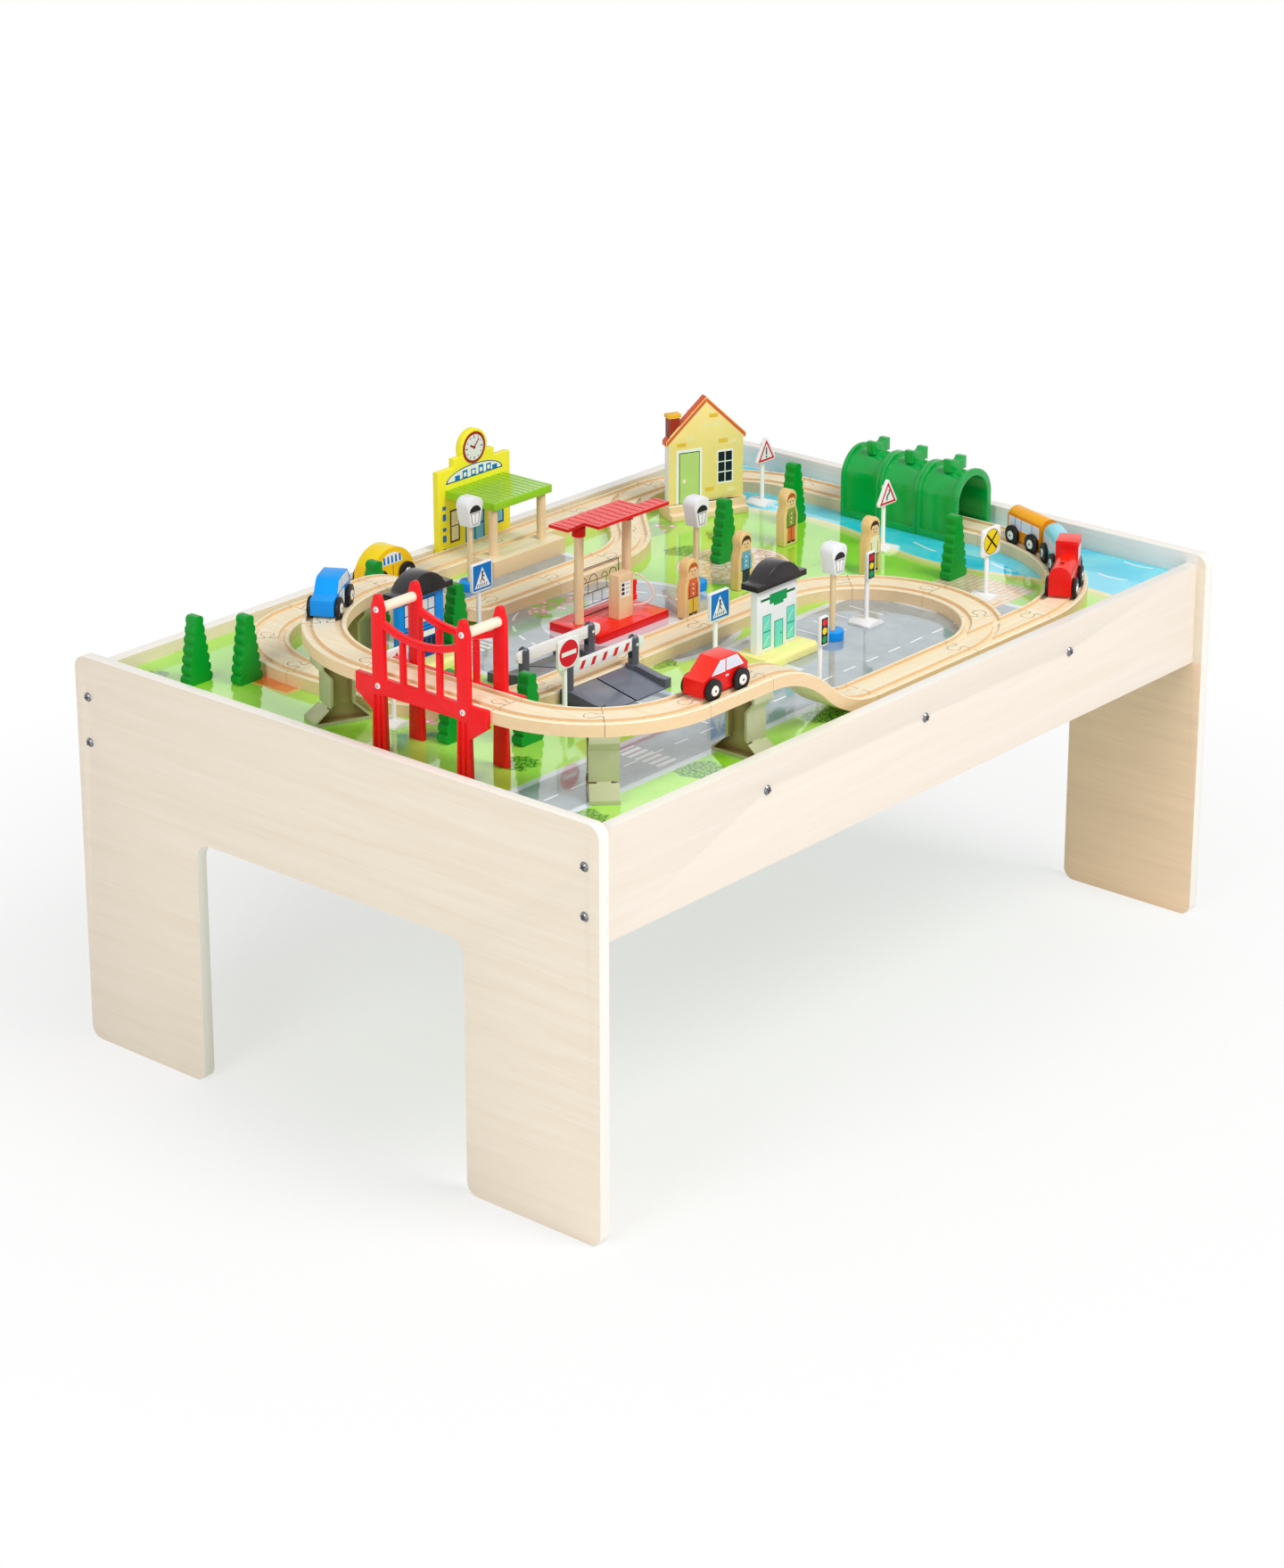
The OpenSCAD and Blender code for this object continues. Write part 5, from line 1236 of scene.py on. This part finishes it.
def blue_house_print():
    for _, art in front_and_back("blue_house_print", "table", "blue_paint", BLUE_HOUSE,
                                 TOWN_FACE):
        art.rect("deep_blue", -28.5, 0.3, 28.5, 26.5)
        for x in (-23, -1):
            art.rect("deep_blue", x, 33, x + 19, 57)
        art.bar("deep_blue", -28, 29.6, 28, 29.6, 1)
        art.over()
        for x in (-21.8, -13.1, 0.2, 8.9):
            for y in (34.2, 45.4):
                art.rect("pane", x, y, x + 7.8, y + 10.2)
        art.rect("blue", -24, 0.3, -10, 23)
        art.rect("night_pane", -5, 4, 24, 17)
        art.rect("white", 2, 19.5, 17, 25)
        art.over()
        for x in (0, 6, 12, 18):
            art.bar("blue", x, 4, x, 17, 0.8)
        art.rect("sky", -22.4, 10, -11.6, 21)
        art.disc("amber", -12.6, 8, 0.9, 12)


eased("blue_house_wall", 0.6, "blue_paint", "blue_paint")
eased("white_house_wall", 0.6, "white_paint", "white_paint")
eased("town_house_roofs", 0.9, "black_paint", "black_paint")
eased("town_house_bases", 0.8, "cream_paint", "cream_paint")
white_house_print()
blue_house_print()


# Trees, figures, lamps and signs

eased("trees", 2.6, "tree_paint", "tree_green", segments=4)
eased("figures", 1.4, "figure_wood", "beech", segments=3)
eased("lamp_bases", 0.8, "blue_paint", "blue_paint")
dress("lamp_posts", "beech_z")
eased("lamp_heads", 0.9, "white_paint", "white_paint")
eased("sign_stands", 0.7, "white_moulding", "white_plastic")
eased("sign_plates", 0.4, "white_moulding", "white_plastic")

# Place, hair, top, skirt or trousers
FIGURES = (
    ((32.3, -2.1, BOARD_Z), "ginger", "coral", "brick_mark"),
    ((128, 11.1, BOARD_Z), "hair", "jacket", "trousers"),
    ((261.5, 61.5, BOARD_Z), "ginger", "apron", "coral"),
    ((245, -55.1, BOARD_Z), "hair", "cream", "apron"),
)
FIGURE_FACE = 5.5
STREET_LAMPS = ((-44.7, 207.8), (97.2, 43), (70.8, -144))
LANTERN_FACE = 7.5
LANTERN_Z = BOARD_Z + 65
SIGN_TOP = BOARD_Z + 72
PLATE_FACE = 5.2


def figure_clothes(art, upper, lower):
    art.poly(lower, [(-6, 4), (6, 4), (5.6, 20), (-5.6, 20)])
    art.poly(upper, [(-7.6, 20), (7.6, 20), (8, 30), (5.6, 39), (-5.6, 39), (-8, 30)])
    art.over().bar("black", -7.4, 20, 7.4, 20, 1)
    art.bar("black", 0, 4, 0, 19, 0.7)
    art.rect("black", -6, 3, -0.6, 5)
    art.rect("black", 0.6, 3, 6, 5)
    for arm in (-1, 1):
        art.bar("black", arm * 5, 21.5, arm * 5.4, 33, 0.7)


def figure_face(art, hair):
    art.poly("skin", arc(0, 45.8, 5.6, 0, 360, 24)[:-1])
    art.over().poly(hair, arc(0, 46.8, 6, 30, 150, 12))
    for eye in (-1, 1):
        art.disc("black", eye * 2.2, 46, 0.8, 12)
    art.over().stroke("rim_red", arc(0, 44.8, 2.4, 215, 325, 8), 0.5)


def figure_prints():
    """Peg people: a plain painted face, hair, a top and a skirt or trousers."""
    for count, (place, hair, upper, lower) in enumerate(FIGURES):
        for end, art in front_and_back(f"figure_print_{count}", "table", "beech", place,
                                       FIGURE_FACE):
            start, stop, steps = (-10, 190, 16) if end == "front" else (-60, 240, 20)
            art.poly(hair, arc(0, 47.6, 6.8, start, stop, steps))
            figure_clothes(art, upper, lower)
            if end == "front":
                figure_face(art, hair)
                for y in (24, 28.6, 33.2):
                    art.disc("white", 0, y, 0.9, 10)


def lamp_prints():
    for count, (x, y) in enumerate(STREET_LAMPS):
        for _, art in front_and_back(f"lamp_print_{count}", "table", "white_paint",
                                     (x, y, LANTERN_Z), LANTERN_FACE):
            art.poly("mid_grey", [(-3.8, 2), (3.8, 2), (6.6, 14), (-6.6, 14)])
            art.poly("black", arc(0, 14.8, 7.8, 0, 180, 14, 0.85))
            art.over().poly("white", [(-3.2, 2.7), (-0.3, 2.7), (-0.3, 13.2), (-5.6, 13.2)])
            art.poly("white", [(0.3, 2.7), (3.2, 2.7), (5.6, 13.2), (0.3, 13.2)])


def plate(name, x, y):
    return Print(name, "table", "white_plastic", (x, y - PLATE_FACE, SIGN_TOP), *FRONT)


def walker(art, x, y, size):
    """A plain walking figure for a sign."""
    art.disc("black", x, y + 8.6 * size, 1.3 * size, 14)
    for x0, y0, x1, y1, width in ((0, 7.4, -0.4, 3.6, 1.5), (-0.4, 3.8, -2.6, 0, 1.0),
                                  (-0.4, 3.8, 2.2, 0.2, 1.0), (0, 6.6, 2.4, 4.4, 0.8)):
        art.bar("black", x + x0 * size, y + y0 * size, x + x1 * size, y + y1 * size, width * size)


def crossing_sign(name, x, y):
    art = plate(name, x, y)
    art.rect("blue", -12.4, -26.4, 12.4, -1.6)
    art.over().poly("white", [(-10.4, -24.4), (10.4, -24.4), (0, -4.6)])
    art.over()
    walker(art, 0.2, -19.4, 1.12)
    for i in range(5):
        low = -6.6 + 3 * i
        art.bar("black", low - 0.8, -23.4, low + 0.6, -20.4, 1.0)
    art.done()


def traffic_light(name, x, y):
    art = plate(name, x, y)
    art.rect("black", -4.6, -26.4, 4.6, -1.6)
    art.over()
    for colour, z in (("red", -6), ("yellow", -14), ("green", -22)):
        art.disc(colour, 0, z, 3.2, 20)
    art.done()


def warning_sign(name, x, y, outer, inner):
    """A red-edged triangle; each outline is given by half width, foot and tip."""
    art = plate(name, x, y)
    for colour, (half, foot, tip) in (("red", outer), ("white", inner)):
        art.poly(colour, [(-half, foot), (half, foot), (0, tip)])
        art.over()
    return art


WIDE_TRIANGLE = ((13.2, -24.6, -2.2), (9.4, -22.4, -6.4))
SMALL_TRIANGLE = ((12.4, -24.8, -3.4), (8.6, -22.6, -7.6))


def sign_prints():
    crossing_sign("walk_sign_print_0", -133.6, 114.5)
    crossing_sign("walk_sign_print_1", -52.4, -104.4)

    stop = plate("no_entry_print", -237, -84.6)
    stop.disc("red", 0, -14, 12.4, 36)
    stop.over().rect("white", -9.6, -16, 9.6, -12)
    stop.done()

    rails = plate("rail_crossing_print", 258.2, -184.9)
    rails.disc("black", 0, -14, 12.6, 36)
    rails.over().disc("yellow", 0, -14, 12, 36)
    rails.over().bar("black", -8, -22, 8, -6, 2)
    rails.over().bar("black", -8, -6, 8, -22, 2)
    rails.done()

    works = warning_sign("works_sign_print", -353.6, 12.2, *SMALL_TRIANGLE)
    walker(works, 0, -21.6, 0.95)
    works.done()

    bend = warning_sign("bend_sign_print", 314.3, -18.8, *WIDE_TRIANGLE)
    bend.bar("black", -1.6, -21, -1.6, -16.4, 1.8)
    bend.bar("black", -1.9, -17, 2, -13.4, 1.8)
    bend.bar("black", 1.7, -13.8, 1.7, -10.4, 1.8)
    bend.done()

    care = warning_sign("care_sign_print", 349.3, 163.8, *WIDE_TRIANGLE)
    care.bar("black", 0, -18.2, 0, -10.6, 1.9)
    care.disc("black", 0, -20.6, 1.1, 14)
    care.done()

    traffic_light("traffic_light_print_0", 125.8, -141.8)
    traffic_light("traffic_light_print_1", -45.8, -219.9)


figure_prints()
lamp_prints()
sign_prints()


# Vehicles: x, y, height of the track's top, heading in degrees, axle distance, body length

VEHICLES = {
    "red_car": (-247.76, -265.0, RAISED_Z, 180, 37, 60),
    "yellow_car": (-105.0, 265.0, TRACK_Z, 0, 37, 60),
    "blue_car": (-312.43, 128.91, RAISED_Z, 210, 37, 60),
    "loco": (301.42, -245.66, TRACK_Z, -153.7, 38, 66),
    "blue_wagon": (356.76, -203.28, TRACK_Z, -131, 33, 56),
    "orange_wagon": (389.96, -146.45, TRACK_Z, -109.6, 33, 56),
}
# Finish and slot of the body, finish of the hubs
VEHICLE_LOOKS = {
    "red_car": ("red_paint", "red_paint", "hub_paint"),
    "yellow_car": ("taxi_paint", "yellow_paint", "steel"),
    "blue_car": ("blue_paint", "blue_paint", "hub_paint"),
    "loco": ("red_paint", "red_paint", "steel"),
    "blue_wagon": ("sky_paint", "sky_paint", "steel"),
    "orange_wagon": ("orange_paint", "orange_paint", "hub_paint"),
}
HANDS = (("left", 1), ("right", -1))
HALF_BODY = 10.8
RIDE_H = 2.6
AXLE_Z = 7.3
HUB_FROM = 15.05
HUB_FACE = 15.8
FUNNEL_ALONG = 17.4
FUNNEL_R = 2.4
MAGNET_Z = 9
MAGNET_OUT = 0.5
MAGNETS = (
    ("loco", "rear", -1), ("blue_wagon", "front", 1), ("blue_wagon", "rear", -1),
    ("orange_wagon", "front", 1), ("orange_wagon", "rear", -1),
)


def ahead(name):
    turn = math.radians(VEHICLES[name][3])
    return Vector((math.cos(turn), math.sin(turn), 0))


def aside(name):
    return UP.cross(ahead(name))


def middle_of(name, height, along=0.0):
    """A point on a vehicle's middle line, in millimetres, at a height above its track."""
    x, y, z = VEHICLES[name][:3]
    return Vector((x, y, z + height)) + ahead(name) * along


def both_sides(name):
    """Gives a print for each side of a vehicle, with x running forward and y up from the
    underside, and finishes it."""
    for hand, side in HANDS:
        out = aside(name) * side
        art = Print(f"{name}_side_{hand}", name, VEHICLE_LOOKS[name][1],
                    middle_of(name, RIDE_H) + out * HALF_BODY, UP.cross(out), UP, -side)
        yield art
        art.done()


def car_sides():
    for art in both_sides("red_car"):
        art.poly("white", [(0.2, 16.4), (18.4, 16.4), (7, 27.8), (0.2, 27.8)])
        art.poly("white", [(-24.4, 16.8), (-1.4, 16.8), (-1.4, 27.8), (-15.6, 27.8)])
        art.rect("white", -4.4, 11.6, -0.6, 13)
        art.over().poly("pane", [(1.2, 17.4), (16, 17.4), (6.4, 26.8), (1.2, 26.8)])
        art.poly("pane", [(-22.4, 17.8), (-2.4, 17.8), (-2.4, 26.8), (-14.8, 26.8)])
    for art in both_sides("blue_car"):
        art.rect("white", -8.2, 1.5, 8.2, 15.4)
        art.poly("white", [(0.4, 16.8), (15.4, 16.8), (8, 27), (0.4, 27.8)])
        art.poly("white", [(-25, 17.4), (-1.2, 17.4), (-1.2, 27.8), (-19.4, 27.8)])
        art.over().poly("pane", [(1.6, 17.8), (13.4, 17.8), (7.2, 26.2), (1.6, 26.8)])
        art.poly("pane", [(-23, 18.4), (-2.4, 18.4), (-2.4, 26.8), (-18.6, 26.8)])
        art.bar("deep_blue", -0.2, 2, -0.2, 15.4, 0.7)
        art.rect("deep_blue", 3, 10.6, 6.4, 12)
    for art in both_sides("yellow_car"):
        art.poly("white", [(-14.4, 16.6), (15, 16.6), (11, 25), (3.4, 28), (-4.6, 28), (-11, 25)])
        art.over().bar("black", 1.6, 4, 1.6, 15, 0.6)
        for i in range(5):
            x = -11.6 + 5.3 * i
            art.poly("blue", [(x, 17.4), (x + 3, 17.4), (x + 2, 25), (x - 0.2, 25)])


def train_sides():
    for art in both_sides("loco"):
        art.rect("white", -29.4, 22, -12.6, 35)
        art.bar("brick_mark", -8, 18, 31.4, 18, 1.2)
        art.over().rect("pane", -28.2, 23.2, -13.8, 33.8)
        art.over().bar("white", -21, 23, -21, 34, 0.9)
    for art in both_sides("blue_wagon"):
        windows = (-25.6, -12.8, 0, 12.8)
        for x in windows:
            art.rect("white", x, 11.4, x + 12, 23)
        art.over()
        for x in windows:
            art.rect("pane", x + 1, 12.4, x + 11, 22)
    for art in both_sides("orange_wagon"):
        art.rect("white", -25.4, 11.4, 25.4, 23)
        art.over()
        for x, w in ((-24.2, 9), (-14.2, 9), (-4.2, 17), (14, 10.2)):
            art.rect("pane", x, 12.4, x + w, 22)
        art.over()
        for x in (-14.7, -4.7, 13.4):
            art.bar("violet", x, 11.4, x, 23, 0.9)


def hub_sorter(middle, across):
    """A sorter for the faces of a wheelset: 1 on its hub caps, 0 elsewhere."""
    def is_hub(face):
        return int(abs((face.calc_center_median() - middle).dot(across)) > HUB_FROM * MM)
    return is_hub


def wheels():
    """Black tyres with pale hub caps and a dark pin in the middle."""
    for name, (_, _, hub) in VEHICLE_LOOKS.items():
        half_base = VEHICLES[name][4] / 2
        for end, along in (("front", half_base), ("rear", -half_base)):
            node = f"{name}_{end}_wheels"
            middle = middle_of(name, AXLE_Z, along)
            eased(node, 0.7, "tyre", "black_plastic", sort=hub_sorter(middle * MM, aside(name)),
                  extra=(hub,))
            for hand, side in HANDS:
                out = aside(name) * side
                pin = Print(f"{name}_{end}_hub_pin_{hand}", BODY_OF[node], "black_plastic",
                            middle + out * HUB_FACE, UP.cross(out), UP)
                pin.disc("mid_grey", 0, 0, 1.3, 16)
                pin.over().disc("black", 0, 0, 0.7, 12)
                pin.done()


def magnets():
    """Round coupling magnets on the ends of the train's vehicles, each in a black ring."""
    for name, end, side in MAGNETS:
        made = bmesh.new()
        bmesh.ops.create_cone(made, cap_ends=True, segments=28, radius1=4.4, radius2=4.0,
                              depth=1.4)
        disc = max(made.faces, key=lambda f: f.calc_center_median().z)
        bmesh.ops.inset_region(made, faces=[disc], thickness=0.8)
        bmesh.ops.translate(made, vec=(0, 0, -0.4), verts=disc.verts)
        for face in made.faces:
            face.material_index = int(face == disc)
        turn = (ahead(name) * side).to_track_quat("Z", "Y").to_matrix().to_4x4()
        along = side * (VEHICLES[name][5] / 2 + MAGNET_OUT)
        place = Matrix.Translation(middle_of(name, RIDE_H + MAGNET_Z, along)) @ turn
        bmesh.ops.transform(made, matrix=Matrix.Scale(MM, 4) @ place, verts=made.verts)
        as_piece(f"{name}_magnet_{end}", made, name, "steel", "tyre", "steel", smooth=35)


def in_funnel(face):
    """1 in the bore of the locomotive's funnel, 0 elsewhere."""
    away = face.calc_center_median() - middle_of("loco", 0, FUNNEL_ALONG) * MM
    return int(away.to_2d().length < FUNNEL_R * MM)


for vehicle, (finish, slot, _) in VEHICLE_LOOKS.items():
    # The funnel's bore takes a dark red-brown as painted shade inside the hole
    bore = {"sort": in_funnel, "extra": ("brick_brown",)} if vehicle == "loco" else {}
    eased(vehicle + "_body", 1.2, finish, slot, segments=3, **bore)
car_sides()
train_sides()
wheels()
magnets()


# Floor, world and lamps

FLOOR_R = 9.0
FLOOR_TONE = (246, 246, 246)
FADE_FROM, FADE_TO = 0.4, 1.0
FADE_LEAST = 0.6
WHITE = (1, 1, 1, 1)
WORLD_LEVEL = 0.42

# Place, aim, size in metres, power in watts
LAMPS = {
    "key_lamp": ((0.4, -2.5, 3.2), (0, 0, 0.3), 1.8, 80),
    "side_lamp": ((-3.0, -0.4, 1.9), (0, 0, 0.3), 1.6, 30),
    "low_lamp": ((-2.2, -2.4, 0.45), (0.2, 0, 0.2), 0.9, 7),
}


def seen_straight(tree):
    """1 for rays from the camera and for mirrored or refracted rays, so that they meet a white
    background."""
    rays = put(tree, "LightPath").outputs
    both = maths(tree, "ADD", rays["Is Camera Ray"], rays["Is Glossy Ray"], clamp=True)
    return maths(tree, "ADD", both, rays["Is Transmission Ray"], clamp=True)


def make_floor():
    """A floor that takes the table's shadow and fades to white round it."""
    made = bmesh.new()
    bmesh.ops.create_circle(made, cap_ends=True, segments=96, radius=FLOOR_R)
    mesh = bpy.data.meshes.new("studio_floor")
    made.to_mesh(mesh)
    made.free()
    tree, shader, place = new_finish("studio_floor")
    fill_named(tree, shader, Base_Color=tone(FLOOR_TONE), Roughness=0.9)
    glow = put(tree, "Emission", Color=WHITE, Strength=1.0)
    reach = vector_maths(tree, "LENGTH", place)
    fade = spread(tree, reach, FADE_FROM, FADE_TO, FADE_LEAST, 1.0)
    share = maths(tree, "MULTIPLY", fade, seen_straight(tree))
    both = blend_shaders(tree, share, shader.outputs["BSDF"], glow.outputs["Emission"])
    fill_named(tree, node_of(tree, "OUTPUT_MATERIAL"), Surface=both)
    mesh.materials.append(MATERIALS["studio_floor"])
    floor = add_object("studio_floor", mesh)


def make_world():
    world = bpy.data.worlds.new("studio_world")
    bpy.context.scene.world = world
    world.use_nodes = True
    tree = world.node_tree
    tree.nodes.clear()
    room = put(tree, "Background", Color=WHITE, Strength=WORLD_LEVEL)
    white = put(tree, "Background", Color=WHITE, Strength=1.0)
    both = blend_shaders(tree, seen_straight(tree), room.outputs[0], white.outputs[0])
    put(tree, "OutputWorld", Surface=both)


def make_lamp(name, place, aim, size, power):
    data = bpy.data.lights.new(name, "AREA")
    data.shape = "DISK"
    data.size = size
    data.energy = power
    lamp = add_object(name, data)
    lamp.location = place
    lamp.rotation_euler = (Vector(aim) - Vector(place)).to_track_quat("-Z", "Y").to_euler()


make_floor()
make_world()
for lamp_name, settings in LAMPS.items():
    make_lamp(lamp_name, *settings)
bpy.context.scene.view_settings.view_transform = "Standard"
